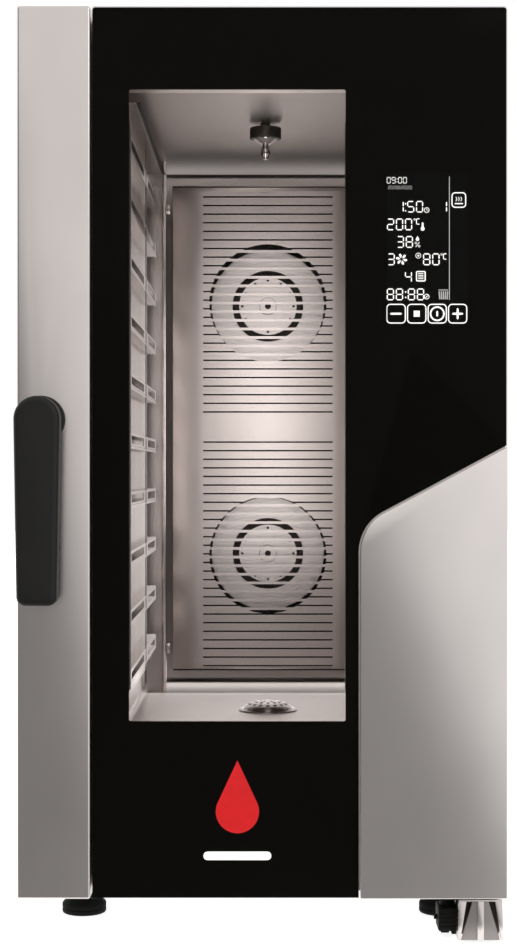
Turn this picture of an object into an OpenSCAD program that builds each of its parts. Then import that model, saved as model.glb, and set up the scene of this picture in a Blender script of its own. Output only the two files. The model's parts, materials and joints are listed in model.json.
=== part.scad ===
// Combi steamer oven: a ten-shelf cabinet oven with a full-width glass door.
// It is drawn with x = 0 on the body's middle, y = 0 on the door's glass and z = 0 on the floor.
// place() then moves the whole oven so that its origin is the bottom centre of its box.

/* [Body] */
// Width of the body and of the door
body_w = 520; // [518:1:530]
// Height of the top panel above the floor
body_top = 995; // [994:1:1010]
// Depth from the glass to the rear panel's outside
body_back = 850; // [848:1:880]
// Height of the body's underside above the floor
foot_h = 48; // [46:1:50]
// Thickness of the casing sheet
sheet = 1.5; // [1:0.1:2]

/* [Door] */
// Thickness of the door, glass to liner
door_t = 60; // [59:0.5:60]
// Thickness of the outer pane
glass_t = 5; // [4:0.5:5]
// Width of the steel strip that carries the handle
strip_w = 77.6; // [70:0.1:80]
// Width of the see-through window
window_w = 230; // [200:1:230]
// Height of the see-through window
window_h = 671; // [600:1:671]
// Lower edge of the window above the floor
window_z = 236; // [236:1:250]
// Window's left edge from the body's middle
window_x = -141.5; // [-141.5:0.5:-130]
// Slope of the steel facing's upper edge, in degrees
facing_slope = 28.2; // [20:0.1:32]
// Radius between that slope and the facing's upright edge
facing_r = 47; // [30:1:60]
// Facing's upright edge from the body's middle
facing_x = 104; // [100:1:110]
// Height of the centre of the facing's round
facing_z = 415.7; // [400:0.1:430]

/* [Handle] */
// How far the lever's front stands out from the glass
handle_out = 50; // [46:1:60]
// Width of the lever at its round head
lever_w = 47.7; // [40:0.1:48]
// Height of the lever's pivot above the floor
lever_z = 556; // [500:1:600]
// Length of the lever below its pivot
lever_len = 194; // [150:1:200]

/* [Chamber] */
// Inside width of the cooking chamber
chamber_w = 350; // [348:1:352]
// Inside height of the cooking chamber
chamber_h = 743; // [740:1:745]
// Height of the chamber's floor
chamber_z = 193; // [192:1:195]
// Sideways place of the chamber's middle
chamber_x = 6; // [4:1:8]
// Depth of the chamber's back wall behind the glass
chamber_back = 760; // [756:1:762]

/* [Racks] */
// Number of shelf rails on each side
rail_count = 10; // [6:1:10]
// Height from one rail to the next
rail_pitch = 67; // [60:1:67]
// Height of the lowest rail's upper edge
rail_first = 277.5; // [270:0.5:280]
// Rail lip's distance from the chamber's middle
rail_lip = 154; // [152:1:158]

/* [Fans] */
// Heights of the two fan shafts
fan_z = [384.5, 737.5];
// Radius of a fan's back plate
fan_r = 95; // [85:1:96]
// Number of blades on a fan
fan_blades = 12; // [8:1:16]

/* [Hidden] */
$fn = 64;

gap = 0.3;                            // room left between pieces that only lie side by side
half_w = body_w / 2;
stub_out = 28;                        // how far the rear connections stand out
origin_y = (body_back + stub_out - handle_out) / 2;
cab_y = 64.5;                         // front face of the cabinet behind the door
frame_in = 258;                       // half width of the pieces inside the side panels
tray_wall = 20;                       // height of the base tray's edge

foot_x = 203;
foot_y = [150, 760];
foot_r = 25;
stud_r = 5;
bore_gap = 0.05;                      // radial room of a running fit

wall = 1.2;                           // chamber and rack sheet
jacket_t = 25;                        // insulation thickness
chamber_top = chamber_z + chamber_h;
jacket_back = chamber_back + wall + gap + jacket_t;
shaft_r = 8;
drain_y = 440;
drain_r = 20;                         // outside radius of the drain pipe
drain_z = 112;                        // height of the drain pipe's run to the rear
nozzle_y = 361;
heater_r = 118;                       // radius of the heating rings
vent_x = chamber_x + 60;
vent_y = 690;
vent_r = 20;                          // outside radius of the chimney
vent_top = body_top + 40;
flap_z = 976;

hook_y = [120, 585];                  // depths and heights of the studs that a rack hangs on
hook_z = [250, 893.5];
hook_r = 3;
rack_lift = 6;                        // lift that brings a keyhole's wide end over its stud

guard_y = 640;
guard_w = 267.2;
guard_z = [225, 901];
slot_pitch = 12.04;
slot_h = 8.4;
slot_w = 181.4;
mouth_r = 82;                         // radius of the inner plate's opening before each fan
slot_top = [887.5, 544.3];            // centre of each group's first slot
slot_n = [26, 27];
post_x = 145.2;                       // guard post's distance from the chamber's middle

hinge_x = half_w - 15;
hinge_y = 15;
pin_r = 5;
bush_r = 7.7;                         // hinge bush, pressed into the door shell
shell_z = [foot_h + 8, body_top - 8]; // door shell, between the hinge brackets
glass_x = strip_w + 1.4 - half_w;     // left edge of the outer pane
duct = 6.5;                           // room round the window inside the door
web_y = 6;                            // front face of the door shell
liner_y = door_t - 2;
lever_x = -half_w + 26;
keeper_x = lever_x - 0.6;             // the hook leaves along the door's arc
keeper_r = 20.4;

display_x = [132, 219.3];
display_z = [656, 819.7];

cool_x = 190;
cool_z = 122;
cool_w = 92;
fitting_x = -150;
fitting_z = 110;
gland_x = 120;
gland_z = 104;

// Moves a piece from the drawing place to the oven's own frame
module place() translate([0, -origin_y, 0]) children();

// Extrudes a flat front-view shape from depth y0 to depth y1
module slab(y0, y1) translate([0, y1, 0]) rotate([90, 0, 0]) linear_extrude(y1 - y0) children();

// A box given by its two corners
module box(a, b) translate(a) cube(b - a);

// A round bar along the depth, from y0 to y1
module bar_y(x, z, r, y0, y1) translate([x, y1, z]) rotate([90, 0, 0]) cylinder(r = r, h = y1 - y0);

// A flat rectangle with round corners
module round_rect(a, b, r) {
    translate([a[0] + r, a[1]]) square([b[0] - a[0] - 2 * r, b[1] - a[1]]);
    translate([a[0], a[1] + r]) square([b[0] - a[0], b[1] - a[1] - 2 * r]);
    for (x = [a[0] + r, b[0] - r], z = [a[1] + r, b[1] - r]) translate([x, z]) circle(r = r);
}

// Chamber outline in front view, grown by some margin
module chamber_outline(grow)
    translate([chamber_x - chamber_w / 2 - grow, chamber_z - grow])
        square([chamber_w + 2 * grow, chamber_h + 2 * grow]);

// Window outline in front view, grown by some margin
module window_outline(grow)
    round_rect([window_x - grow, window_z - grow],
               [window_x + window_w + grow, window_z + window_h + grow], 2);

// Steel area at the door's lower right: upright edge, round and slope
module facing_outline(grow) {
    mid = [facing_x + facing_r, facing_z];
    start = mid + (facing_r + grow) * [-sin(facing_slope), cos(facing_slope)];
    right_z = start[1] + (half_w - start[0]) * tan(facing_slope);
    polygon([[facing_x - grow, foot_h], [half_w, foot_h], [half_w, right_z], start, mid,
             [facing_x - grow, mid[1]]]);
    translate(mid) circle(r = facing_r + grow);
}

// ---------------------------------------------------------------- cabinet

module base_tray() color("silver") difference() {
    union() {
        difference() {
            box([-frame_in, cab_y + 2, foot_h], [frame_in, body_back - 2, foot_h + tray_wall]);
            box([-frame_in + sheet, cab_y + 2 + sheet, foot_h + 2],
                [frame_in - sheet, body_back - 2 - sheet, foot_h + tray_wall + 1]);
        }
        for (x = [-foot_x, foot_x], y = foot_y)
            translate([x, y, foot_h + 1]) cylinder(r = 10, h = 16);
    }
    for (x = [-foot_x, foot_x], y = foot_y)
        translate([x, y, foot_h - 1]) cylinder(r = stud_r + bore_gap, h = 20);
}

// Side sheet with folded edges at the rear and below
module side_sheet() {
    box([half_w - sheet, cab_y, foot_h], [half_w, body_back, body_top - 2]);
    box([half_w - 16, body_back - sheet, foot_h + tray_wall + 2],
        [half_w - sheet, body_back, body_top - 4]);
}

module left_side_panel() color("gainsboro") mirror([1, 0, 0]) side_sheet();

module right_side_panel() color("gainsboro") difference() {
    side_sheet();
    for (i = [0:9], y = [560, 690])
        box([half_w - sheet - 1, y, 120 + 14 * i], [half_w + 1, y + 90, 124 + 14 * i]);
}

module top_panel() color("gainsboro") difference() {
    box([-half_w, cab_y, body_top - 2 + 0.1], [half_w, body_back, body_top]);
    translate([vent_x, vent_y, body_top - 5]) cylinder(r = vent_r + 0.5, h = 10);
}

module rear_panel() color("gainsboro") difference() {
    box([-half_w + 16 + gap, body_back - sheet, foot_h + tray_wall + 2],
        [half_w - 16 - gap, body_back, body_top - 2.2]);
    bar_y(chamber_x, drain_z, drain_r + 0.5, body_back - 5, body_back + 5);
    bar_y(fitting_x, fitting_z, 13.7, body_back - 5, body_back + 5);
    bar_y(gland_x, gland_z, 12.4, body_back - 5, body_back + 5);
    for (i = [0:6])
        box([cool_x - 34, body_back - 5, cool_z - 32 + 10 * i], [cool_x + 34, body_back + 5, cool_z - 28 + 10 * i]);
    for (i = [0:9], x = [-170, 80])
        box([x, body_back - 5, 850 + 12 * i], [x + 90, body_back + 5, 854 + 12 * i]);
}

module front_frame() color("silver") difference() {
    box([-frame_in, cab_y, foot_h + 1 + tray_wall], [frame_in, cab_y + 14, body_top - 2.2]);
    box([-frame_in + sheet, cab_y + sheet, foot_h + 1 + tray_wall + sheet],
        [frame_in - sheet, cab_y + 20, body_top - 2.2 - sheet]);
    slab(cab_y - 1, cab_y + 3) chamber_outline(0);
    bar_y(keeper_x, lever_z, keeper_r + 0.4, cab_y - 1, cab_y + 3);
}

module chamber() color("lightgray") difference() {
    slab(cab_y + sheet + 0.1, chamber_back + wall) chamber_outline(wall);
    slab(cab_y, chamber_back) chamber_outline(0);
    for (z = fan_z) {
        bar_y(chamber_x, z, shaft_r + 3, chamber_back - 5, chamber_back + 5);
        bar_y(chamber_x + 24, z, 4.3, chamber_back - 5, chamber_back + 5);
    }
    translate([chamber_x, drain_y, chamber_z - 5]) cylinder(r = drain_r + 2, h = 10);
    translate([chamber_x, nozzle_y, chamber_top - 5]) cylinder(r = 6.3, h = 10);
    translate([vent_x, vent_y, chamber_top - 5]) cylinder(r = vent_r - 1.6, h = 10);
}

module insulation_jacket() color("khaki") difference() {
    slab(cab_y + 15, jacket_back) chamber_outline(wall + gap + jacket_t);
    slab(cab_y, chamber_back + wall + gap) chamber_outline(wall + gap);
    for (z = fan_z) {
        bar_y(chamber_x, z, shaft_r + 5, chamber_back, jacket_back + 1);
        bar_y(chamber_x + 24, z, 5, chamber_back, jacket_back + 1);
    }
    translate([chamber_x, drain_y, chamber_z - 40]) cylinder(r = drain_r + 2.5, h = 50);
    translate([chamber_x, nozzle_y, chamber_top]) cylinder(r = 7, h = 40);
    translate([vent_x, vent_y, chamber_top]) cylinder(r = vent_r + 1, h = 40);
}

module door_seal() color("dimgray") slab(door_t + gap, cab_y) difference() {
    chamber_outline(17);
    chamber_outline(4);
}

// Slotted suction plate, its sides folded back, and the inner plate with a mouth before each fan
module fan_guard() color("silver") translate([chamber_x, 0, 0]) {
    slab(guard_y, guard_y + sheet) difference() {
        translate([-guard_w / 2, guard_z[0]]) square([guard_w, guard_z[1] - guard_z[0]]);
        for (g = [0, 1], i = [0:slot_n[g] - 1])
            translate([-slot_w / 2, slot_top[g] - slot_h / 2 - slot_pitch * i])
                square([slot_w, slot_h]);
    }
    slab(guard_y + 4.5, guard_y + 4.5 + wall) difference() {
        translate([-guard_w / 2 + sheet, guard_z[0]]) square([guard_w - 2 * sheet, guard_z[1] - guard_z[0]]);
        for (z = fan_z) translate([0, z]) circle(r = mouth_r);
    }
    for (s = [-1, 1])
        box([s * (guard_w / 2 - sheet / 2) - sheet / 2, guard_y + sheet, guard_z[0]],
            [s * (guard_w / 2 - sheet / 2) + sheet / 2, guard_y + 14, guard_z[1]]);
}

// Upright posts beside the guard, with the spring clips that hold it
module guard_posts() color("gainsboro") for (s = [-1, 1]) translate([chamber_x, 0, 0]) {
    box([s * post_x - 2.8, guard_y - 2, chamber_z], [s * post_x + 2.8, guard_y + 12, chamber_top]);
    for (z = [255, 867])
        box([s * (post_x - 5.6) - 3.4, guard_y - 6, z - 7], [s * (post_x - 5.6) + 3.4, guard_y - 2, z + 7]);
}

// Headed studs on the chamber walls; the racks hang on them by keyholes
module rack_studs() color("gainsboro")
    for (s = [-1, 1], y = hook_y, z = hook_z)
        translate([chamber_x + s * chamber_w / 2, y, z]) rotate([0, -90 * s, 0]) {
            cylinder(r = hook_r, h = 15);
            translate([0, 0, 11]) cylinder(r = 5.6, h = 4);
        }

// Heating element round one fan: three rings held by four straps, and two tails to the back wall
module heater(z) color("dimgray") translate([chamber_x, 0, z]) {
    for (i = [0, 1, 2]) translate([0, 692 + 16 * i, 0])
        rotate([90, 0, 0]) rotate_extrude() translate([heater_r, 0]) circle(r = 4.2, $fn = 24);
    for (a = [45:90:315]) rotate([0, a, 0])
        box([heater_r - 5.5, 687, -4], [heater_r + 5.5, 729, 4]);
    for (s = [-1, 1]) bar_y(s * 20, sqrt(pow(heater_r, 2) - 400), 4, 724, chamber_back);
}
module heater_upper() heater(fan_z[1]);
module heater_lower() heater(fan_z[0]);

// Fan motor behind the chamber: plate, round can and the shaft's bore
module motor(z) color("slategray") difference() {
    union() {
        box([chamber_x - 75, jacket_back + 1, z - 75], [chamber_x + 75, jacket_back + 5, z + 75]);
        bar_y(chamber_x, z, 62, jacket_back + 4, jacket_back + 52);
        bar_y(chamber_x, z, 24, jacket_back + 52, jacket_back + 58);
    }
    bar_y(chamber_x, z, shaft_r + bore_gap, jacket_back, jacket_back + 50);
}
module motor_upper() motor(fan_z[1]);
module motor_lower() motor(fan_z[0]);

module steam_injectors() color("silver") for (z = fan_z) difference() {
    bar_y(chamber_x + 24, z, 4, 744, jacket_back);
    bar_y(chamber_x + 24, z, 2.6, 740, jacket_back + 1);
}

module spray_nozzle() color("gray") translate([chamber_x, nozzle_y, 0]) {
    translate([0, 0, chamber_top - 19]) cylinder(r = 20, h = 18, $fn = 6);
    translate([0, 0, chamber_top - 26]) cylinder(r1 = 6, r2 = 16, h = 7);
    translate([0, 0, chamber_top - 2]) cylinder(r = 6, h = 40);
}

module spray_tip() color("silver") translate([chamber_x, nozzle_y, chamber_top - 26.1])
    rotate_extrude() polygon([[0, 0], [4, 0], [4, -3], [5.4, -6], [6, -10], [5.6, -14], [4, -17.5], [0, -19]]);

// Drain: down from the chamber, back along the base, and a wider hose stub outside the rear panel
module drain_pipe() color("silver") difference() {
    run_r = drain_r - 1;
    union() {
        translate([chamber_x, drain_y, drain_z]) cylinder(r = run_r, h = chamber_z - wall - 0.2 - drain_z);
        translate([chamber_x, drain_y, drain_z]) sphere(r = run_r);
        bar_y(chamber_x, drain_z, run_r, drain_y, body_back + stub_out - 1);
        bar_y(chamber_x, drain_z, drain_r, body_back + 1, body_back + stub_out);
    }
    translate([chamber_x, drain_y, drain_z]) cylinder(r = run_r - 1.5, h = 100);
    translate([chamber_x, drain_y, drain_z]) sphere(r = run_r - 1.5);
    bar_y(chamber_x, drain_z, run_r - 1.5, drain_y, body_back + stub_out + 1);
}

// Steam outlet: tube from the chamber's ceiling with a wider stub above the top panel
module vent_chimney() color("silver") difference() {
    union() {
        translate([vent_x, vent_y, chamber_top + wall + 0.1])
            cylinder(r = vent_r - 0.6, h = vent_top - chamber_top - wall - 1);
        translate([vent_x, vent_y, body_top + 1]) cylinder(r = vent_r, h = vent_top - body_top - 1);
    }
    translate([vent_x, vent_y, chamber_top]) cylinder(r = vent_r - 1.7, h = 200);
    translate([vent_x - 30, vent_y, flap_z]) rotate([0, 90, 0]) cylinder(r = 2.55, h = 60);
}

module vent_motor() color("darkslategray") difference() {
    box([vent_x + vent_r + 4, vent_y - 16, flap_z - 12], [vent_x + vent_r + 44, vent_y + 16, flap_z + 15]);
    translate([vent_x, vent_y, flap_z]) rotate([0, 90, 0]) cylinder(r = 2.55, h = vent_r + 20);
}

// Black plastic valve under the front edge, beside the chute
module water_valve() color("black") {
    box([189, 24, 8], [210, 60, 33]);
    box([192, 30, 5], [201, 54, 8]);
    box([203.5, 30, 3.5], [210, 54, 8]);
    translate([199.5, 42, 33]) cylinder(r = 8, h = 8);
    box([191, 30, 40], [208, 90, 45]);
    box([191, 68, 45], [208, 90, foot_h]);
    translate([185.6, 42, 20]) rotate([0, 90, 0]) cylinder(r = 2.8, h = 4);
}

module water_fitting() color("goldenrod") difference() {
    union() {
        bar_y(fitting_x, fitting_z, 12.9, body_back - 20, body_back + stub_out - 1);
        bar_y(fitting_x, fitting_z, 13.2, body_back + 1, body_back + stub_out);
        translate([fitting_x, body_back - 6, fitting_z]) rotate([90, 0, 0]) cylinder(r = 19, h = 8, $fn = 6);
    }
    bar_y(fitting_x, fitting_z, 9, body_back - 30, body_back + stub_out + 1);
}

// Folded steel outlet under the door's lower right corner
module drain_chute() color("silver") {
    slab(3, 22.7) polygon([[207.5, 3], [210.2, 3], [217, 45], [209, 45]]);
    slab(3, 22.7) polygon([[256.5, 3], [253.8, 3], [247, 45], [255, 45]]);
    slab(16, 18) polygon([[210.9, 3], [253.1, 3], [240.5, 45], [223.5, 45]]);
    slab(13, 16.1) polygon([[228.5, 3], [235.5, 3], [235.5, 45], [228.5, 45]]);
    box([209, 3, 44.5], [255, 100, 46.5]);
    box([209, 70, 46.4], [255, 100, foot_h]);
}

module cable_gland() color("black") difference() {
    union() {
        bar_y(gland_x, gland_z, 12, body_back - 12, body_back + 8);
        translate([gland_x, body_back + 8, gland_z]) rotate([90, 0, 0]) cylinder(r = 15, h = 7.8, $fn = 6);
        bar_y(gland_x, gland_z, 13, body_back + 8, body_back + 22);
    }
    bar_y(gland_x, gland_z, 7.5, body_back - 20, body_back + 30);
}

module terminal_block() color("ivory") difference() {
    box([80, 780, foot_h + 2], [150, 812, foot_h + 32]);
    for (i = [0:4]) translate([88 + 13.5 * i, 796, foot_h + 20]) cylinder(r = 3.6, h = 20);
}

// Power circuit board in the right-hand service space, with relays and heat sink
module power_board() color("seagreen") {
    box([222, 300, 480], [223.6, 480, 720]);
    for (i = [0:3]) box([223.5, 315 + 40 * i, 640], [242, 343 + 40 * i, 690]);
    for (i = [0:5]) box([223.5, 330, 500 + 14 * i], [246, 450, 506 + 14 * i]);
}

module cooling_fan_frame() color("dimgray") difference() {
    union() {
        difference() {
            box([cool_x - cool_w / 2, body_back - 30, cool_z - cool_w / 2],
                [cool_x + cool_w / 2, body_back - 2, cool_z + cool_w / 2]);
            bar_y(cool_x, cool_z, cool_w / 2 - 3, body_back - 31, body_back - 1);
        }
        bar_y(cool_x, cool_z, 17, body_back - 7, body_back - 2);
        box([cool_x - cool_w / 2 + 1, body_back - 6, cool_z - 3], [cool_x + cool_w / 2 - 1, body_back - 2, cool_z + 3]);
    }
    bar_y(cool_x, cool_z, 3 + bore_gap, body_back - 8, body_back - 3);
}

// Hinge arm: boss with a pin, reaching forward from the cabinet's face
module hinge_arm(pin_dir) {
    cylinder(r = 8, h = 4);
    box([-30, 0, 0], [-1, cab_y - hinge_y, 4]);
    translate([0, 0, pin_dir > 0 ? 3 : -12]) cylinder(r = pin_r, h = 13);
    box([-30, cab_y - hinge_y - 2, pin_dir > 0 ? 0 : -28], [-1, cab_y - hinge_y, pin_dir > 0 ? 32 : 4]);
}
module hinge_bracket_top() color("gray") translate([hinge_x, hinge_y, body_top - 6.2]) hinge_arm(-1);
module hinge_bracket_bottom() color("gray") translate([hinge_x, hinge_y, foot_h + 2]) hinge_arm(1);

// Cup behind the cabinet's face that the latch hook turns in
module latch_keeper() color("gray") difference() {
    bar_y(keeper_x, lever_z, keeper_r + wall, cab_y + sheet, cab_y + 14);
    bar_y(keeper_x, lever_z, keeper_r, cab_y, cab_y + 11);
}

module casing_screws() color("silver") {
    for (x = [-225, 0, 225], z = [foot_h + 34, 500, body_top - 18])
        if (x != 0 || z != 500) bar_y(x, z, 4, body_back, body_back + 2.4);
    for (s = [-1, 1], y = [120, 450, 780], z = [foot_h + 10, body_top - 14])
        translate([s * half_w, y, z]) rotate([0, 90 * s, 0]) cylinder(r = 4, h = 0.01 + 2.2);
}

// ---------------------------------------------------------------- door

module door_frame() color("darkgray") difference() {
    union() {
        difference() {
            box([glass_x + 1, web_y, shell_z[0]], [half_w - sheet, liner_y - gap, shell_z[1]]);
            box([glass_x + 1 + wall, web_y + wall, shell_z[0] + wall],
                [half_w - sheet - wall, liner_y, shell_z[1] - wall]);
        }
        slab(web_y, 50) window_outline(duct);
    }
    slab(web_y - 1, 51) window_outline(duct - wall);
    slab(web_y - 1, web_y + 3) translate([display_x[0] - 3, display_z[0] - 3])
        square([display_x[1] - display_x[0] + 6, display_z[1] - display_z[0] + 6]);
    for (z = [shell_z[0] - 1, shell_z[1] - 3])
        translate([hinge_x, hinge_y, z]) cylinder(r = bush_r + 0.1, h = 4);
}

// Steel strip on the handle side: a shallow box with its open side to the glass
module door_left_trim() color("gainsboro") difference() {
    box([-half_w, 0, foot_h], [-half_w + strip_w, liner_y - gap, body_top]);
    box([-half_w + wall, wall, foot_h + wall], [-half_w + strip_w + 1, liner_y, body_top - wall]);
    bar_y(lever_x, lever_z, 8, -1, 5);
}

module door_lower_facing() color("gainsboro") {
    slab(0, sheet) facing_outline(0);
    box([half_w - 1.2, sheet - 0.1, shell_z[0]], [half_w, 50, 520]);
}

module outer_glass() color("slategray", 0.4) slab(0, glass_t) difference() {
    round_rect([glass_x, foot_h], [half_w, body_top], 3);
    facing_outline(1);
}

// Black enamel on the back of the outer pane, clear at the window and the display
module glass_print() color("black") slab(glass_t, glass_t + 0.4) difference() {
    round_rect([glass_x + 0.5, foot_h + 0.5], [half_w - 0.5, body_top - 0.5], 3);
    facing_outline(1.5);
    window_outline(0);
    round_rect([display_x[0], display_z[0]], [display_x[1], display_z[1]], 2);
}

module inner_glass() color("lightblue", 0.3) slab(liner_y - 4.2, liner_y - 0.2) window_outline(20);

module glass_clips() color("silver")
    for (x = [window_x - 13.5, window_x + window_w + 13.5], z = [window_z + 60, window_z + window_h - 60])
        box([x - 5, liner_y - 12, z - 14], [x + 5, liner_y - 4.4, z + 14]);

module door_liner() color("silver") difference() {
    slab(liner_y, door_t) translate([-half_w + 2, shell_z[0]])
        square([body_w - 5, shell_z[1] - shell_z[0]]);
    slab(liner_y - 1, door_t + 1) window_outline(8);
    bar_y(lever_x, lever_z, 8, liner_y - 1, door_t + 1);
}

module led_bars() color("white") for (x = [window_x - 4.8, window_x + window_w + 0.8])
    box([x, 26, window_z + 30], [x + 4, 44, window_z + window_h - 30]);

module display_module() color("black")
    slab(glass_t + 0.5, 14) round_rect([display_x[0] - 2, display_z[0] - 2], [display_x[1] + 2, display_z[1] + 2], 2);

module control_board() color("seagreen") {
    box([display_x[0] - 8, 19, display_z[0] - 20], [display_x[1] + 12, 20.6, display_z[1] + 20]);
    for (i = [0:2]) box([142 + 28 * i, 20.5, 680], [160 + 28 * i, 23, 704]);
    for (i = [0:3]) box([140 + 22 * i, 20.5, 760], [152 + 22 * i, 30, 800]);
}

module hinge_bushes() color("ivory") for (z = [shell_z[0] - 1.5, shell_z[1] - 12])
    translate([hinge_x, hinge_y, z]) difference() {
        cylinder(r = bush_r, h = 13.5);
        translate([0, 0, -1]) cylinder(r = pin_r + bore_gap, h = 16);
    }

module handle_base() color("dimgray") difference() {
    union() {
        bar_y(lever_x, lever_z, 25.5, -6, 0);
        bar_y(lever_x, lever_z, 20, -22, -5);
    }
    bar_y(lever_x, lever_z, 6 + bore_gap, -23, 1);
}

// Lever in front view: round head, slightly tapered sides, rounded lower corners
module lever_outline() {
    head = lever_w / 2;
    corner = 9;
    taper = 0.93;                     // lean of each side, in degrees
    low = lever_z - lever_len + corner;
    inset = head - 3 - corner;
    side = [cos(taper), -sin(taper)];
    translate([lever_x, 0]) {
        translate([0, lever_z]) circle(r = head);
        for (s = [-1, 1]) translate([s * inset, low]) circle(r = corner);
        for (s = [0, 1]) mirror([s, 0])
            polygon([[0, lever_z], [0, lever_z] + head * side, [inset, low] + corner * side,
                     [inset, low], [inset, low - corner], [0, low - corner]]);
    }
}

module handle_lever() color("dimgray") difference() {
    slab(-handle_out, -23.5) lever_outline();
    bar_y(lever_x, lever_z, 6.02, -36, -23);
}

module handle_spindle() color("gray") bar_y(lever_x, lever_z, 6, -35.9, 62);

module latch_hook() color("gray") {
    bar_y(lever_x, lever_z, 9, 62, 70);
    box([lever_x - 4.5, 62, lever_z], [lever_x + 4.5, 70, lever_z + 18]);
    bar_y(lever_x, lever_z + 15, 4.5, 62, 72);
}

// ---------------------------------------------------------------- moving parts

// Centrifugal fan: back plate, blades, front ring, hub plate and shaft
module fan(z) color("lightgray") translate([chamber_x, 0, z]) {
    bar_y(0, 0, fan_r, 733, 735);
    slab(696, 697.5) difference() { circle(r = 81); circle(r = 50); }
    slab(696, 698) difference() {
        circle(r = 41);
        for (i = [0:11]) rotate(30 * i) translate([36.6, 0]) circle(r = 1.8);
    }
    bar_y(0, 0, 16, 698, 733);
    bar_y(0, 0, 13.6, 693, 696);
    for (i = [0:fan_blades - 1]) rotate([0, 360 / fan_blades * i, 0])
        translate([52, 697, 0]) rotate([0, 28, 0]) translate([-2, 0, -1]) cube([36, 36.5, 2]);
    bar_y(0, 0, shaft_r, 735, jacket_back + 48);
}
module fan_upper() fan(fan_z[1]);
module fan_lower() fan(fan_z[0]);

module cooling_fan_rotor() color("black") {
    bar_y(cool_x, cool_z, 16, body_back - 28, body_back - 8);
    bar_y(cool_x, cool_z, 3, body_back - 8.1, body_back - 4);
    for (i = [0:6]) translate([cool_x, body_back - 18, cool_z]) rotate([0, 360 / 7 * i, 0])
        translate([15, 0, 0]) rotate([35, 0, 0]) translate([0, -1, -10]) cube([25, 2, 20]);
}

module vent_flap() color("silver") {
    translate([vent_x, vent_y, flap_z - 0.75]) cylinder(r = vent_r - 2.1, h = 1.5);
    translate([vent_x - vent_r + 2.1, vent_y, flap_z]) rotate([0, 90, 0]) cylinder(r = 2.5, h = 50);
}

// Stamped side rack, drawn for the left wall with x = 0 on the chamber's middle
module rack() {
    plate = chamber_w / 2 - 7;
    top_z = 912;
    low_z = 232;
    ends = [95, 600];
    difference() {
        box([-plate, ends[0], low_z], [-plate + wall, ends[1], top_z]);
        for (i = [0:rail_count - 1], y = [[137, 350], [430, 575]])
            box([-plate - 1, y[0], rail_first + rail_pitch * i - 13],
                [-plate + wall + 1, y[1], rail_first + rail_pitch * i - 2]);
        for (y = hook_y, z = hook_z) {
            translate([-plate - 1, y, z]) rotate([0, 90, 0]) cylinder(r = hook_r + 0.5, h = 4);
            box([-plate - 1, y - hook_r - 0.5, z - rack_lift], [-plate + wall + 1, y + hook_r + 0.5, z]);
            translate([-plate - 1, y, z - rack_lift]) rotate([0, 90, 0]) cylinder(r = 6.1, h = 4);
        }
    }
    for (i = [0:rail_count - 1], dz = [0, 15]) {
        z = rail_first + rail_pitch * i - dz;
        box([-plate + wall - 0.1, ends[0], z - wall], [-rail_lip, ends[1], z]);
        box([-rail_lip - wall, ends[0], z - 3], [-rail_lip, ends[1], z]);
    }
    box([-plate + wall - 0.1, ends[0], top_z - wall], [-145, ends[1], top_z]);
    box([-plate + wall - 0.1, 399, low_z], [-plate + wall + 2, 402, top_z]);
}
module rack_left() color("silver") translate([chamber_x, 0, 0]) rack();
module rack_right() color("silver") translate([chamber_x, 0, 0]) mirror([1, 0, 0]) rack();

// Perforated cover over the drain, with a spigot into the hole
module drain_strainer() color("silver") translate([chamber_x, drain_y, chamber_z + gap]) difference() {
    union() {
        rotate_extrude() polygon([[30, 0], [38, 0], [38, 1.5], [30, 8], [14, 11.5], [0, 12.5], [0, 11],
                                  [13.5, 10], [28.6, 6.8], [30, 5.5]]);
        difference() {
            translate([0, 0, -12]) cylinder(r = drain_r + 1.2, h = 20);
            translate([0, 0, -13]) cylinder(r = drain_r - 0.3, h = 22);
        }
    }
    for (i = [0:11]) rotate(30 * i) translate([25.5, 0, -2]) cylinder(r = 2.4, h = 20);
    for (i = [0:5]) rotate(60 * i) translate([10, 0, -2]) cylinder(r = 2.2, h = 20);
}

// Levelling foot: round pad with a threaded stud
module foot(x, y) color("black") translate([x, y, 0]) {
    cylinder(r1 = foot_r - 1.5, r2 = foot_r, h = 3);
    translate([0, 0, 3]) cylinder(r = foot_r, h = 9);
    translate([0, 0, 12]) cylinder(r1 = foot_r, r2 = 14, h = 10);
    translate([0, 0, 22]) cylinder(r = 12, h = 20);
    translate([0, 0, 41]) cylinder(r = stud_r, h = 30);
}
module foot_front_left() foot(-foot_x, foot_y[0]);
module foot_front_right() foot(foot_x, foot_y[0]);
module foot_rear_left() foot(-foot_x, foot_y[1]);
module foot_rear_right() foot(foot_x, foot_y[1]);

place() base_tray();
place() left_side_panel();
place() right_side_panel();
place() top_panel();
place() rear_panel();
place() front_frame();
place() chamber();
place() insulation_jacket();
place() door_seal();
place() fan_guard();
place() guard_posts();
place() rack_studs();
place() heater_upper();
place() heater_lower();
place() motor_upper();
place() motor_lower();
place() steam_injectors();
place() spray_nozzle();
place() spray_tip();
place() drain_pipe();
place() vent_chimney();
place() vent_motor();
place() water_valve();
place() water_fitting();
place() drain_chute();
place() cable_gland();
place() terminal_block();
place() power_board();
place() cooling_fan_frame();
place() hinge_bracket_top();
place() hinge_bracket_bottom();
place() latch_keeper();
place() casing_screws();
place() door_frame();
place() door_left_trim();
place() door_lower_facing();
place() outer_glass();
place() glass_print();
place() inner_glass();
place() glass_clips();
place() door_liner();
place() led_bars();
place() display_module();
place() control_board();
place() hinge_bushes();
place() handle_base();
place() handle_lever();
place() handle_spindle();
place() latch_hook();
place() fan_upper();
place() fan_lower();
place() cooling_fan_rotor();
place() vent_flap();
place() rack_left();
place() rack_right();
place() drain_strainer();
place() foot_front_left();
place() foot_front_right();
place() foot_rear_left();
place() foot_rear_right();
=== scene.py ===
import json
import math

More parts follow.
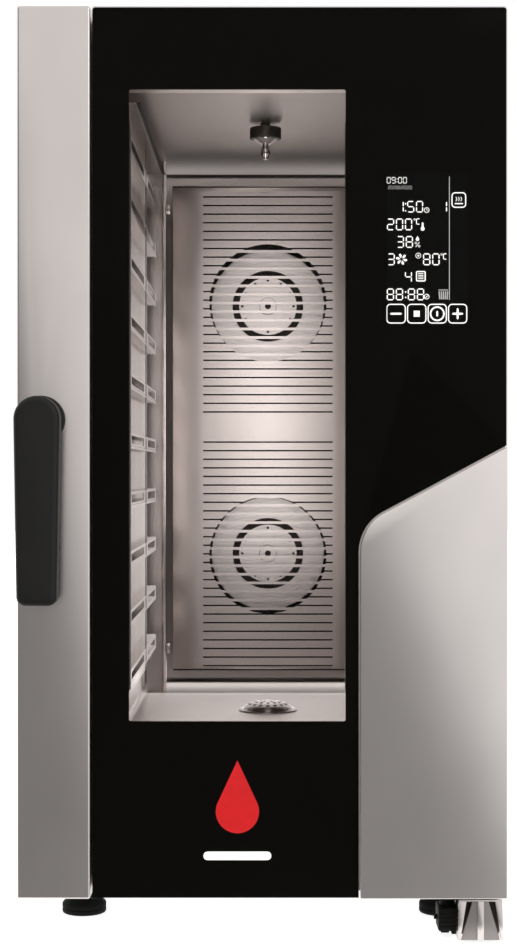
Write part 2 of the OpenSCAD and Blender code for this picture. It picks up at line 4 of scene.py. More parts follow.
import bpy
from mathutils import Matrix, Vector


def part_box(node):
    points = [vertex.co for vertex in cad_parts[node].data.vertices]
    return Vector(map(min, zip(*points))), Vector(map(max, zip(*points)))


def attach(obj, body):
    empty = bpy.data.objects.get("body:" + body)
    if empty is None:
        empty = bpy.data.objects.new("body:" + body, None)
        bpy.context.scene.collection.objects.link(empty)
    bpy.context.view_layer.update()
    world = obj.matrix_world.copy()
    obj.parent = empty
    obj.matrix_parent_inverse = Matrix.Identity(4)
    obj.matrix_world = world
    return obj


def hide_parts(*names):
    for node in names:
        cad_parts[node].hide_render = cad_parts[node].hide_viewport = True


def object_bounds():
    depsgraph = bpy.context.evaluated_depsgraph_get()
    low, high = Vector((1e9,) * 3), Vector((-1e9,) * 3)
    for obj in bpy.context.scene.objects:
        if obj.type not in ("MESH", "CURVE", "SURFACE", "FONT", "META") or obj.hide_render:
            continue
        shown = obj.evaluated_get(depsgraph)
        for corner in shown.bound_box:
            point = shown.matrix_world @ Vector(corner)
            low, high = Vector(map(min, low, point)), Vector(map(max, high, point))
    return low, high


bl_info = {
    "name": "Combi steamer oven",
    "version": (1, 0, 0),
    "blender": (4, 5, 0),
    "location": "View3D > Sidebar > Oven",
    "description": "Dresses the combi steamer oven's frame with panels, glass, racks, fans and controls",
    "category": "Object",
}

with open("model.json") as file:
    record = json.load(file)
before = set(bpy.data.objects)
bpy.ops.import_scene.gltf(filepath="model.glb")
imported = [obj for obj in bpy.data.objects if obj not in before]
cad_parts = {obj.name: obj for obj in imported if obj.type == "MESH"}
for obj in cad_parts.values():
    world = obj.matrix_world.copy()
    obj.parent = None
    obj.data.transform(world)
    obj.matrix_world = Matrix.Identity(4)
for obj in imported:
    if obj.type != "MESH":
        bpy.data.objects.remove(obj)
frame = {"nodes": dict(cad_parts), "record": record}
CAD_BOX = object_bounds()
NODES = frame["nodes"]
MM = 0.001
PAST = 10 * MM                            # how far a cutter reaches past the sheet it cuts

# Places that everything else hangs on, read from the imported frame
GLASS_LO, GLASS_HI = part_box("outer_glass")
STRIP_LO, STRIP_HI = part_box("door_left_trim")
FACING_LO, FACING_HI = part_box("door_lower_facing")
ROOF_LO, ROOF_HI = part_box("top_panel")
SIDE_LO, SIDE_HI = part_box("right_side_panel")
BACK_LO, BACK_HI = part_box("rear_panel")
CHAMBER_LO, CHAMBER_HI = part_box("chamber")
GUARD_LO, GUARD_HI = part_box("fan_guard")
RACK_LO, RACK_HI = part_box("rack_left")
DISPLAY_LO, DISPLAY_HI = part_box("display_module")
FRONT = GLASS_LO.y                        # the door's glass face
FLOOR = CAD_BOX[0][2]
MID_X = (CHAMBER_LO.x + CHAMBER_HI.x) / 2  # the chamber's middle


# ------------------------------------------------------------------ settings

class OvenSizes(bpy.types.PropertyGroup):
    """Sizes of the finished pieces that a user may change"""
    fold_radius: bpy.props.FloatProperty(
        name="Fold radius", description="Radius of the casing sheet's folds",
        default=1.6 * MM, min=0.5 * MM, max=3 * MM, unit="LENGTH")
    glass_bevel: bpy.props.FloatProperty(
        name="Glass bevel", description="Width of the ground edge round the outer pane",
        default=0.8 * MM, min=0.2 * MM, max=2 * MM, unit="LENGTH")
    lever_round: bpy.props.FloatProperty(
        name="Lever rounding", description="Radius along the lever's front edges",
        default=6 * MM, min=2 * MM, max=10 * MM, unit="LENGTH")
    slot_pitch: bpy.props.FloatProperty(
        name="Guard slot pitch", description="Height from one guard slot to the next",
        default=12.04 * MM, min=11 * MM, max=13 * MM, unit="LENGTH")
    rail_pitch: bpy.props.FloatProperty(
        name="Rail pitch", description="Height from one shelf rail to the next",
        default=67 * MM, min=60 * MM, max=67 * MM, unit="LENGTH")
    blade_count: bpy.props.IntProperty(
        name="Fan blades", description="Blades on each fan wheel", default=18, min=8, max=24)


class OvenColours(bpy.types.PropertyGroup):
    """Colours of the finishes, as sRGB hex values"""
    casing: bpy.props.StringProperty(
        name="Casing steel", description="Brushed stainless sheet of the casing", default="#CFC8C5")
    chamber: bpy.props.StringProperty(
        name="Chamber steel", description="Satin stainless sheet of the cooking chamber", default="#D2CBC7")
    enamel: bpy.props.StringProperty(
        name="Enamel", description="Black enamel fired on the back of the pane", default="#100F0C")
    handle: bpy.props.StringProperty(
        name="Handle", description="Charcoal plastic of the lever", default="#211F1E")
    digits: bpy.props.StringProperty(
        name="Digits", description="Lit digits and symbols", default="#F4F4F0")
    badge: bpy.props.StringProperty(
        name="Badge", description="Plain drop-shaped badge under the window", default="#E3161B")


# ------------------------------------------------------------------ materials

def srgb(code):
    """A hex colour as linear RGBA"""
    parts = [int(code[i:i + 2], 16) / 255 for i in (1, 3, 5)]
    return [c / 12.92 if c <= 0.04045 else ((c + 0.055) / 1.055) ** 2.4 for c in parts] + [1.0]


def add_node(tree, kind, settings=None, links=None):
    """Adds a node, sets its sockets or properties, and links its inputs"""
    new = tree.nodes.new(kind)
    for key, value in (settings or {}).items():
        if isinstance(key, int) or key in new.inputs:
            new.inputs[key].default_value = value
        else:
            setattr(new, key, value)
    for key, source in (links or {}).items():
        tree.links.new(source, new.inputs[key])
    return new


def blank(name):
    """A new material with an empty tree, its output and the piece's own coordinates"""
    mat = bpy.data.materials.new(name)
    mat.use_nodes = True
    tree = mat.node_tree
    tree.nodes.clear()
    out = add_node(tree, "ShaderNodeOutputMaterial")
    place = add_node(tree, "ShaderNodeTexCoord").outputs["Object"]
    return mat, tree, out, place


def grain(tree, place, size_mm, detail=3.0):
    """Noise whose features measure size_mm along X, Y and Z"""
    scale = [1 / (s * MM) for s in size_mm]
    mapped = add_node(tree, "ShaderNodeMapping", {"Scale": scale}, {"Vector": place}).outputs[0]
    return add_node(tree, "ShaderNodeTexNoise", {"Scale": 1.0, "Detail": detail, "Roughness": 0.6},
                    {"Vector": mapped}).outputs["Fac"]


def spread(tree, value, low, high):
    """Maps noise between two values"""
    return add_node(tree, "ShaderNodeMapRange",
                    {"From Min": 0.3, "From Max": 0.7, "To Min": low, "To Max": high},
                    {"Value": value}).outputs["Result"]


def tint(tree, value, dark, light):
    """Blends two hex colours by a value"""
    return add_node(tree, "ShaderNodeMix", {"data_type": "RGBA", 6: srgb(dark), 7: srgb(light)},
                    {0: value}).outputs[2]


def shade(code, factor):
    """The hex colour made darker or lighter"""
    return "#" + "".join(f"{min(255, round(int(code[i:i + 2], 16) * factor)):02X}" for i in (1, 3, 5))


def surfaced(mat, tree, out, settings, links):
    """Finishes a material with one principled shader"""
    shader = add_node(tree, "ShaderNodeBsdfPrincipled", settings, links)
    tree.links.new(shader.outputs[0], out.inputs["Surface"])
    return mat


def sheet_steel(name, code, rough, along, streak_mm=0.9, fleck=0.05, bump=0.02):
    """Rolled stainless sheet: base colour a little uneven, roughness streaked along the brushing"""
    mat, tree, out, place = blank(name)
    size = [streak_mm] * 3
    size["XYZ".index(along)] = 90.0
    streaks = grain(tree, place, size)
    clouds = grain(tree, place, (140, 140, 220), 2.0)
    colour = tint(tree, spread(tree, clouds, 0, 1), shade(code, 0.97), shade(code, 1.02))
    dust = add_node(tree, "ShaderNodeMath", {"operation": "MULTIPLY_ADD", 1: fleck, 2: rough - fleck / 2},
                    {0: streaks}).outputs[0]
    relief = add_node(tree, "ShaderNodeBump", {"Strength": bump, "Distance": 0.2 * MM}, {"Height": streaks})
    return surfaced(mat, tree, out, {"Metallic": 1.0},
                    {"Base Color": colour, "Roughness": dust, "Normal": relief.outputs[0]})


def moulded(name, code, rough, grain_mm=0.8, bump=0.15, coat=0.0, gleam=0.5):
    """Moulded plastic or rubber: fine spark-eroded grain and slightly uneven gloss"""
    mat, tree, out, place = blank(name)
    fine = grain(tree, place, (grain_mm,) * 3, 4.0)
    wide = grain(tree, place, (30, 30, 45), 2.0)
    colour = tint(tree, spread(tree, wide, 0, 1), shade(code, 0.92), shade(code, 1.06))
    gloss = add_node(tree, "ShaderNodeMath", {"operation": "MULTIPLY_ADD", 1: 0.12, 2: rough - 0.06},
                     {0: wide}).outputs[0]
    relief = add_node(tree, "ShaderNodeBump", {"Strength": bump, "Distance": 0.15 * MM}, {"Height": fine})
    return surfaced(mat, tree, out, {"IOR": 1.5, "Coat Weight": coat, "Specular IOR Level": gleam},
                    {"Base Color": colour, "Roughness": gloss, "Normal": relief.outputs[0]})


def plated(name, code, rough, cloud_mm=25, bump=0.0):
    """Cast, plated or turned metal: even colour with a slow change of gloss"""
    mat, tree, out, place = blank(name)
    wide = grain(tree, place, (cloud_mm,) * 3, 3.0)
    colour = tint(tree, spread(tree, wide, 0, 1), shade(code, 0.94), shade(code, 1.03))
    gloss = add_node(tree, "ShaderNodeMath", {"operation": "MULTIPLY_ADD", 1: 0.10, 2: rough - 0.05},
                     {0: wide}).outputs[0]
    relief = add_node(tree, "ShaderNodeBump", {"Strength": bump, "Distance": 0.2 * MM},
                      {"Height": grain(tree, place, (1.5,) * 3)})
    return surfaced(mat, tree, out, {"Metallic": 1.0},
                    {"Base Color": colour, "Roughness": gloss, "Normal": relief.outputs[0]})


def float_glass(name, mirror, tone):
    """Float glass: what is behind it, dimmed a little, and a thin mirror image on its face"""
    mat, tree, out, place = blank(name)
    clear = add_node(tree, "ShaderNodeBsdfTransparent", {"Color": srgb(tone)})
    haze = spread(tree, grain(tree, place, (60, 60, 90), 2.0), 0.0, 0.03)
    shine = add_node(tree, "ShaderNodeBsdfGlossy", {"Color": (1, 1, 1, 1)}, {"Roughness": haze})
    edge = add_node(tree, "ShaderNodeLayerWeight", {"Blend": 0.25}).outputs["Fresnel"]
    share = add_node(tree, "ShaderNodeMath", {"operation": "MULTIPLY", 1: mirror}, {0: edge}).outputs[0]
    both = add_node(tree, "ShaderNodeMixShader", links={0: share, 1: clear.outputs[0], 2: shine.outputs[0]})
    tree.links.new(both.outputs[0], out.inputs["Surface"])
    return mat


def lit(name, code, power):
    """Light-emitting symbols or a diffuser, and print made to glow as painted light; a little uneven from one
    place to the next
    """
    mat, tree, out, place = blank(name)
    wide = grain(tree, place, (12, 12, 12), 2.0)
    colour = tint(tree, spread(tree, wide, 0, 1), shade(code, 0.94), code)
    return surfaced(mat, tree, out,
                    {"Roughness": 0.4, "Emission Color": srgb(code), "Emission Strength": power},
                    {"Base Color": colour})


def wool(name, code):
    """Mineral wool slab: matted fibres a few millimetres long"""
    mat, tree, out, place = blank(name)
    fibres = grain(tree, place, (1.2, 6.0, 6.0), 6.0)
    colour = tint(tree, spread(tree, fibres, 0, 1), shade(code, 0.7), shade(code, 1.1))
    relief = add_node(tree, "ShaderNodeBump", {"Strength": 0.8, "Distance": 1.5 * MM}, {"Height": fibres})
    return surfaced(mat, tree, out, {"Roughness": 0.95},
                    {"Base Color": colour, "Normal": relief.outputs[0]})


def make_materials(colours):
    """Every finish, by the name of the record's slot or of the piece that has its own"""
    bright = shade(colours.chamber, 1.03)
    return {
        # AISI 304 sheet, satin brushed up and down: soft vertical streaks, broad highlights
        "stainless_casing": sheet_steel("Brushed stainless casing", colours.casing, 0.25, "Z"),
        # the facing's copy of the casing steel is 1.07 times as bright: painted light
        "stainless_facing": sheet_steel("Brushed stainless facing (painted light)", shade(colours.casing, 1.07), 0.25, "Z"),
        "side_sheet": sheet_steel("Brushed stainless side sheet", shade(colours.casing, 0.97), 0.38, "Y"),
        # Hot-dip galvanised sheet: duller, with slow clouds instead of streaks
        "galvanised_sheet": plated("Galvanised sheet", "#A9ABAC", 0.48, 18, 0.1),
        # 304 sheet with a smoother rolled surface: brighter, blurred mirror images
        "stainless_inner": sheet_steel("Satin stainless chamber", colours.chamber, 0.34, "Z", 1.4, 0.03,
                                       0.006),
        "guard_sheet": sheet_steel("Satin stainless guard", bright, 0.30, "Z", 1.4, 0.05, 0.01),
        "rack_sheet": sheet_steel("Bright stainless rack", bright, 0.24, "Y", 1.2, 0.05, 0.01),
        "fan_steel": sheet_steel("Pressed stainless fan", "#E4DFDC", 0.30, "X", 1.2, 0.06, 0.01),
        # The same sheet, rougher and 0.70 as bright: the darker colour is painted shade on the outlet panel
        "outlet_sheet": sheet_steel("Darkened stainless outlet (painted shade)", shade(colours.casing, 0.70), 0.5, "Z"),
        # The same steel made dark: painted shade deep inside the fans and behind the outlet
        "shade_dark_steel": sheet_steel("Dark steel for painted shade", "#4C4643", 0.42, "X", 1.2, 0.06, 0.01),
        # Mineral wool board: matt, fibrous
        "mineral_wool": wool("Mineral wool", "#A89A6B"),
        # Silicone extrusion: matt, very slightly waxy
        "seal_silicone": moulded("Extruded silicone seal", "#1C1C1B", 0.55, 1.2, 0.05),
        # Incoloy sheath, oxidised by heat: dark brown-grey
        "heater_sheath": plated("Oxidised heater sheath", "#4A4543", 0.42, 12, 0.1),
        # Painted aluminium die casting: low sheen
        "motor_body": moulded("Painted die casting", "#4B5056", 0.5, 1.4, 0.2),
        "nozzle_metal": plated("Turned stainless nozzle", "#55514B", 0.5, 10),
        # Polished stainless: sharp mirror
        "chromed_metal": plated("Polished stainless", "#DAD7D4", 0.10, 20),
        "brass_fitting": plated("Machined brass", "#C7A35A", 0.24, 8),
        # Glass-filled nylon: matt black
        "black_plastic": moulded("Black glass-filled nylon", "#11110F", 0.55, 0.9, 0.2, 0.0, 0.1),
        "ivory_plastic": moulded("Ivory polyamide", "#D6CFBE", 0.42, 0.9, 0.1),
        # Lacquered glass-epoxy board
        "circuit_board": moulded("Lacquered circuit board", "#1B5B35", 0.3, 2.0, 0.05, 0.4),
        "clear_glass": float_glass("Clear float glass", 0.05, "#F5F4F4"),
        # Enamel fired on glass: deep black, seen through the pane
        "black_enamel": moulded("Black fired enamel", colours.enamel, 0.5, 6.0, 0.0, 0.0, 0.03),
        "spring_steel": plated("Bright spring steel", "#BDBBB8", 0.3, 10),
        "led_diffuser": moulded("Smoked polycarbonate diffuser", "#3B3835", 0.5, 3.0, 0.0),
        "display_panel": moulded("Black display window", "#141412", 0.35, 8.0, 0.0, 0.0, 0.03),
        # Glass-filled polyamide with spark-eroded grain: charcoal, soft sheen
        "handle_plastic": moulded("Charcoal polyamide", colours.handle, 0.5, 0.7, 0.2, 0.0, 0.2),
        "foot_rubber": moulded("Black moulded rubber", "#11110F", 0.65, 1.2, 0.2, 0.0, 0.1),
        "digits": lit("Lit display symbols", colours.digits, 1.0),
        "dim_digits": lit("Dimmed display symbols", "#A8A8A6", 1.0),
        # Screen-printed enamel, made to glow a little: painted light
        "badge": lit("Red printed badge (glow painted)", colours.badge, 0.35),
    }


MATERIALS = {}


# ------------------------------------------------------------------ modelling helpers

def clear_selection():
    """Leaves object mode with nothing selected"""
    if bpy.context.object and bpy.context.object.mode != "OBJECT":
        bpy.ops.object.mode_set(mode="OBJECT")
    bpy.ops.object.select_all(action="DESELECT")


def pick(*obs):
    """Selects these objects and makes the last one active"""
    clear_selection()
    for ob in obs:
        ob.select_set(True)
    bpy.context.view_layer.objects.active = obs[-1]
    return obs[-1]


def settle(ob):
    """Puts the object's place, turn and size into its mesh"""
    pick(ob)
    bpy.ops.object.transform_apply(location=True, rotation=True, scale=True)
    return ob


def block(lo, hi):
    """A box between two corners"""
    clear_selection()
    lo, hi = Vector(lo), Vector(hi)
    bpy.ops.mesh.primitive_cube_add(size=1, location=(lo + hi) / 2)
    ob = bpy.context.object
    ob.scale = hi - lo
    return settle(ob)


def rod(a, b, radius, sides=32):
    """A round bar from point a to point b"""
    clear_selection()
    a, b = Vector(a), Vector(b)
    bpy.ops.mesh.primitive_cylinder_add(radius=radius, depth=(b - a).length, vertices=sides,
                                        location=(a + b) / 2)
    ob = bpy.context.object
    ob.rotation_euler = (b - a).to_track_quat("Z", "Y").to_euler()
    return settle(ob)


def with_modifier(ob, kind, **settings):
    """Adds a modifier and applies it"""
    pick(ob)
    mod = ob.modifiers.new(kind, kind)
    for key, value in settings.items():
        setattr(mod, key, value)
    bpy.ops.object.modifier_apply(modifier=mod.name)
    return ob


def bevelled(ob, width, segments=2, angle=35):
    """Rounds every edge sharper than the angle"""
    return with_modifier(ob, "BEVEL", width=width, segments=segments, limit_method="ANGLE",
                         angle_limit=math.radians(angle), harden_normals=False)


def cut(ob, *cutters):
    """Takes the cutters away from the piece"""
    for cutter in cutters:
        with_modifier(ob, "BOOLEAN", operation="DIFFERENCE", object=cutter, solver="EXACT")
        bpy.data.objects.remove(cutter)
    return ob


def join(obs):
    """Makes one object of several"""
    obs = [o for o in obs if o]
    pick(*obs)
    if len(obs) > 1:
        bpy.ops.object.join()
    return bpy.context.object


def copies(ob, offsets):
    """The piece repeated at each offset, every copy with its own mesh, joined in one object"""
    made = []
    for offset in offsets:
        new = ob.copy()
        new.data = ob.data.copy()
        new.data.transform(Matrix.Translation(offset))
        bpy.context.scene.collection.objects.link(new)
        made.append(new)
    bpy.data.objects.remove(ob)
    return join(made)


def turned_copies(ob, count, centre, axis="Y"):
    """The piece repeated round an axis through the centre"""
    made = []
    for i in range(count):
        new = ob.copy()
        new.data = ob.data.copy()
        turn = Matrix.Rotation(2 * math.pi * i / count, 4, axis)
        new.data.transform(Matrix.Translation(centre) @ turn @ Matrix.Translation(-Vector(centre)))
        bpy.context.scene.collection.objects.link(new)
        made.append(new)
    bpy.data.objects.remove(ob)
    return join(made)


def start_path(point):
    """One loose vertex in edit mode at the point"""
    clear_selection()
    bpy.ops.mesh.primitive_plane_add(size=MM, location=point)
    ob = settle(bpy.context.object)
    bpy.ops.object.mode_set(mode="EDIT")
    bpy.ops.mesh.select_mode(type="VERT")
    bpy.ops.mesh.select_all(action="SELECT")
    bpy.ops.mesh.merge(type="CENTER")
    return ob


def path(points):
    """A chain of edges through the points, left in edit mode"""
    points = [Vector(p) for p in points]
    ob = start_path(points[0])
    for before, after in zip(points, points[1:]):
        bpy.ops.mesh.extrude_vertices_move(TRANSFORM_OT_translate={"value": after - before})
    bpy.ops.mesh.select_all(action="SELECT")
    return ob


def end_edit(ob):
    """Turns the faces outwards and goes back to object mode"""
    bpy.ops.mesh.select_all(action="SELECT")
    bpy.ops.mesh.remove_doubles(threshold=1e-6)
    bpy.ops.mesh.normals_make_consistent(inside=False)
    bpy.ops.object.mode_set(mode="OBJECT")
    return ob


def prism(points, depth):
    """A closed outline filled and extruded by the depth vector"""
    ob = path(points)
    bpy.ops.mesh.edge_face_add()
    bpy.ops.mesh.extrude_region_move(TRANSFORM_OT_translate={"value": Vector(depth)})
    return end_edit(ob)


def front_prism(outline, y0, y1):
    """A front-view outline of (x, z) points, from depth y0 to depth y1"""
    return prism([(x, y0, z) for x, z in outline], (0, y1 - y0, 0))


def lathe(profile, centre, axis="Z", steps=48):
    """A profile of (radius, height) points spun about the axis through the centre"""
    centre = Vector(centre)
    if axis == "Z":
        points = [centre + Vector((r, 0, h)) for r, h in profile]
        about = (0, 0, 1)
    else:
        points = [centre + Vector((r, h, 0)) for r, h in profile]
        about = (0, 1, 0)
    ob = path(points)
    bpy.ops.mesh.spin(steps=steps, angle=2 * math.pi, center=centre, axis=about)
    return end_edit(ob)


def turned(profile, place, steps):
    """An upright turned piece whose profile is in mm, set at a place"""
    ob = lathe(profile, (0, 0, 0), "Z", steps)
    ob.data.transform(Matrix.Translation(place) @ Matrix.Scale(MM, 4))
    return ob


def rear_nut(place, radius, depth, edge):
    """A hexagon nut whose axis points to the rear"""
    clear_selection()
    bpy.ops.mesh.primitive_cylinder_add(radius=radius, depth=depth, vertices=6, location=place,
                                        rotation=(math.pi / 2, 0, 0))
    return bevelled(settle(bpy.context.object), edge, 2, 40)


def ring(centre, outer, inner, y0, y1, steps=48):
    """A flat ring facing the front"""
    return lathe([(inner, y0), (outer, y0), (outer, y1), (inner, y1), (inner, y0)],
                 (centre[0], 0, centre[1]), "Y", steps)


def arc(centre, radius, start, end, steps):
    """Points (x, z) along an arc, angles in degrees"""
    return [(centre[0] + radius * math.cos(math.radians(start + (end - start) * i / steps)),
             centre[1] + radius * math.sin(math.radians(start + (end - start) * i / steps)))
            for i in range(steps + 1)]


def round_outline(x0, z0, x1, z1, radius, steps=6):
    """A rectangle with round corners, in front view"""
    return (arc((x1 - radius, z0 + radius), radius, -90, 0, steps)
            + arc((x1 - radius, z1 - radius), radius, 0, 90, steps)
            + arc((x0 + radius, z1 - radius), radius, 90, 180, steps)
            + arc((x0 + radius, z0 + radius), radius, 180, 270, steps))


def smooth(ob, angle=35):
    """Smooth shading except over sharp edges"""
    pick(ob)
    bpy.ops.object.shade_smooth_by_angle(angle=math.radians(angle))
    return ob


def piece(ob, name, body, material, replaced=(), angle=35):
    """Names, shades and paints a finished piece, and hangs it on its body"""
    smooth(ob, angle)
    ob.name = name
    ob.data.name = name
    ob.data.materials.clear()
    ob.data.materials.append(MATERIALS[material])
    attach(ob, body)
    if replaced:
        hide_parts(*replaced)
    clear_selection()
    return ob


# ------------------------------------------------------------------ door

def facing_line(grow):
    """The steel facing's outline, with the round between its upright edge and its slope"""
    slope, radius = 28.2, 47 * MM
    mid = (FACING_LO.x + radius, 415.7 * MM)
    turn = arc(mid, radius + grow, 180, 90 + slope, 14)
    start = turn[-1]
    right = GLASS_HI.x
    right_z = start[1] + (right - start[0]) * math.tan(math.radians(slope))
    return turn, (right, right_z)


class OVEN_OT_glass(bpy.types.Operator):
    """The black-framed outer pane with a ground edge"""
    bl_idname = "oven.glass"
    bl_label = "Outer pane"

    def execute(self, context):
        sizes = context.scene.oven_sizes
        turn, tip = facing_line(0.4 * MM)
        foot = [(turn[0][0], GLASS_LO.z)]
        corner = 3 * MM
        outline = ([(GLASS_LO.x, GLASS_LO.z)] + foot + turn + [tip]
                   + arc((GLASS_HI.x - corner, GLASS_HI.z - corner), corner, 0, 90, 5)
                   + arc((GLASS_LO.x + corner, GLASS_HI.z - corner), corner, 90, 180, 5))
        pane = bevelled(front_prism(outline, GLASS_LO.y, GLASS_HI.y), sizes.glass_bevel, 2, 50)
        piece(pane, "door_pane", "door", "clear_glass", ["outer_glass"])
        return {"FINISHED"}


def hollow_shell(ob, thickness, open_side):
    """Takes away the faces on one side and gives the rest a wall inwards"""
    pick(ob)
    bpy.ops.object.mode_set(mode="EDIT")
    bpy.ops.mesh.select_all(action="DESELECT")
    bpy.ops.object.mode_set(mode="OBJECT")
    for face in ob.data.polygons:
        face.select = face.normal.dot(Vector(open_side)) > 0.99
    bpy.ops.object.mode_set(mode="EDIT")
    bpy.ops.mesh.select_mode(type="FACE")
    bpy.ops.mesh.delete(type="FACE")
    bpy.ops.object.mode_set(mode="OBJECT")
    return with_modifier(ob, "SOLIDIFY", thickness=thickness, offset=-1)


class OVEN_OT_door_steel(bpy.types.Operator):
    """The folded steel strip on the handle side and the steel facing at the lower right"""
    bl_idname = "oven.door_steel"
    bl_label = "Door steel"

    def execute(self, context):
        fold = context.scene.oven_sizes.fold_radius
        strip = bevelled(block(STRIP_LO, STRIP_HI), fold * 1.6, 4)
        strip = hollow_shell(strip, 1.2 * MM, (0, 1, 0))
        axle_x, axle_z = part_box("handle_base")[0].x + 25.5 * MM, 0.556
        hole = rod((axle_x, FRONT - PAST, axle_z), (axle_x, FRONT + PAST, axle_z), 8 * MM)
        piece(cut(strip, hole), "handle_strip", "door", "stainless_casing", ["door_left_trim"])

        turn, tip = facing_line(0)
        outline = [(FACING_HI.x, FACING_LO.z), tip] + turn[::-1] + [(FACING_LO.x, FACING_LO.z)]
        plate = front_prism(outline, FRONT, FRONT + 5 * MM)
        plate = hollow_shell(bevelled(plate, fold * 0.7, 3, 25), 1.2 * MM, (0, 1, 0))
        cheek = bevelled(block((FACING_HI.x - 1.2 * MM, FRONT + 5.2 * MM, FACING_LO.z + 8 * MM),
                               (FACING_HI.x, FRONT + 50 * MM, 0.520)), 0.4 * MM)
        piece(join([plate, cheek]), "lower_facing", "door", "stainless_facing", ["door_lower_facing"])
        return {"FINISHED"}


class OVEN_OT_handle(bpy.types.Operator):
    """The charcoal lever with softly rounded edges, its boss and collar"""
    bl_idname = "oven.handle"
    bl_label = "Handle lever"

    def execute(self, context):
        lo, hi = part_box("handle_lever")
        soft = context.scene.oven_sizes.lever_round
        head = (hi.x - lo.x) / 2
        mid = (lo.x + hi.x) / 2
        top = hi.z - head
        tail, corner = head - 3 * MM, 9 * MM
        outline = (arc((mid, top), head, 0, 180, 24)
                   + arc((mid - tail + corner, lo.z + corner), corner, 180, 270, 8)
                   + arc((mid + tail - corner, lo.z + corner), corner, 270, 360, 8))
        body = front_prism(outline, lo.y, hi.y)
        pick(body)
        bpy.ops.object.mode_set(mode="EDIT")
        bpy.ops.mesh.select_all(action="DESELECT")
        bpy.ops.object.mode_set(mode="OBJECT")
        for edge in body.data.edges:
            edge.select = all(body.data.vertices[v].co.y < lo.y + MM for v in edge.vertices)
        bpy.ops.object.mode_set(mode="EDIT")
        bpy.ops.mesh.select_mode(type="EDGE")
        bpy.ops.mesh.bevel(offset=soft, segments=6, affect="EDGES")
        bpy.ops.object.mode_set(mode="OBJECT")
        back = lathe([(0, 0), (17 * MM, 0), (17 * MM, -1.0 * MM), (0, -1.0 * MM)],
                     (mid, hi.y + 0.6 * MM, top), "Y")
        piece(join([bevelled(body, 1.2 * MM, 2, 50), back]), "lever", "handle", "handle_plastic",
              ["handle_lever"])

        base_lo, base_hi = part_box("handle_base")
        centre = ((base_lo.x + base_hi.x) / 2, base_hi.y, (base_lo.z + base_hi.z) / 2)
        wide = (base_hi.x - base_lo.x) / 2
        profile = [(6.1 * MM, 0), (wide, 0), (wide, -4 * MM), (wide - 1.5 * MM, -6 * MM)]
        profile += [(r * MM, h * MM) for r, h in ((21, -6.6), (19.6, -8.5), (19, -21), (18, -22), (6.1, -22),
                                                  (6.1, 0))]
        piece(lathe(profile, centre, "Y", 64), "lever_boss", "door", "handle_plastic", ["handle_base"])
        return {"FINISHED"}


# Which of the seven strokes each digit lights: top, upper left, upper right, middle, lower left,
# lower right, bottom
STROKES = {"0": "1110111", "1": "0010010", "2": "1011101", "3": "1011011", "4": "0111010",
           "5": "1101011", "6": "1101111", "7": "1010010", "8": "1111111", "9": "1111011"}


class DisplayPen:
    """Draws thin lit shapes just in front of the display, placed in mm from its top left corner"""

    def __init__(self):
        self.left = DISPLAY_LO.x + 1.3 * MM
        self.top = DISPLAY_HI.z - 2 * MM
        self.back = FRONT + 5.42 * MM
        self.face = FRONT + 5.12 * MM
        self.made = []

    def at(self, x, z):
        """A place on the display as (x, z) in metres"""
        return self.left + x * MM, self.top - z * MM

    def shape(self, outline):
        """A filled outline of display places"""
        self.made.append(front_prism([self.at(x, z) for x, z in outline], self.back, self.face))

    def line(self, x0, z0, x1, z1, width):
        """A stroke with pointed ends"""
        along = Vector((x1 - x0, z1 - z0)).normalized()
        side = Vector((-along.y, along.x)) * width / 2
        a, b = Vector((x0, z0)), Vector((x1, z1))
        tip = along * width / 2
        self.shape([a, a + tip + side, b - tip + side, b, b - tip - side, a + tip - side])

    def loop(self, x, z, radius, width):
        """A round outline"""
        self.made.append(ring(self.at(x, z), radius * MM, (radius - width) * MM, self.back, self.face, 28))

    def disc(self, x, z, radius):
        """A filled round"""
        self.shape([(x + radius * math.cos(a * math.pi / 8), z + radius * math.sin(a * math.pi / 8))
                    for a in range(16)])

    def key(self, x0, z0, x1, z1, corner, width):
        """A rounded square outline"""
        outer = round_outline(x0, z0, x1, z1, corner)
        inner = round_outline(x0 + width, z0 + width, x1 - width, z1 - width, corner - width)
        plate = front_prism([self.at(*p) for p in outer], self.back, self.face)
        hole = front_prism([self.at(*p) for p in inner], self.back + MM, self.face - MM)
        self.made.append(cut(plate, hole))

    def digit(self, char, x, z, height):
        """A seven-stroke digit with its top left corner at the place"""
        wide, thick, slit = height * 0.62, height * 0.10, height * 0.03
        half = height / 2
        left, right = x + thick / 2, x + wide - thick / 2
        top, mid, low = z + thick / 2, z + half, z + height - thick / 2
        ends = [(left, top, right, top), (left, top, left, mid), (right, top, right, mid),
                (left, mid, right, mid), (left, mid, left, low), (right, mid, right, low),
                (left, low, right, low)]
        for on, (x0, z0, x1, z1) in zip(STROKES[char], ends):
            if on == "1":
                dx, dz = (slit, 0) if z0 == z1 else (0, slit)
                self.line(x0 + dx, z0 + dz, x1 - dx, z1 - dz, thick)

    def number(self, text, x, z, height):
        """Digits and colons in a row"""
        for char in text:
            if char == ":":
                for share in (0.3, 0.75):
                    self.disc(x + height * 0.07, z + height * share, height * 0.065)
                x += height * 0.24
            else:
                self.digit(char, x, z, height)
                x += height * (0.42 if char == "1" else 0.76)

    def degrees(self, x, z):
        """A degree ring and a C"""
        self.loop(x + 1.0, z + 1.2, 1.1, 0.5)
        self.line(x + 3.0, z + 0.6, x + 6.4, z + 0.6, 1.0)
        self.line(x + 3.0, z + 0.6, x + 3.0, z + 6.2, 1.0)
        self.line(x + 3.0, z + 6.2, x + 6.4, z + 6.2, 1.0)


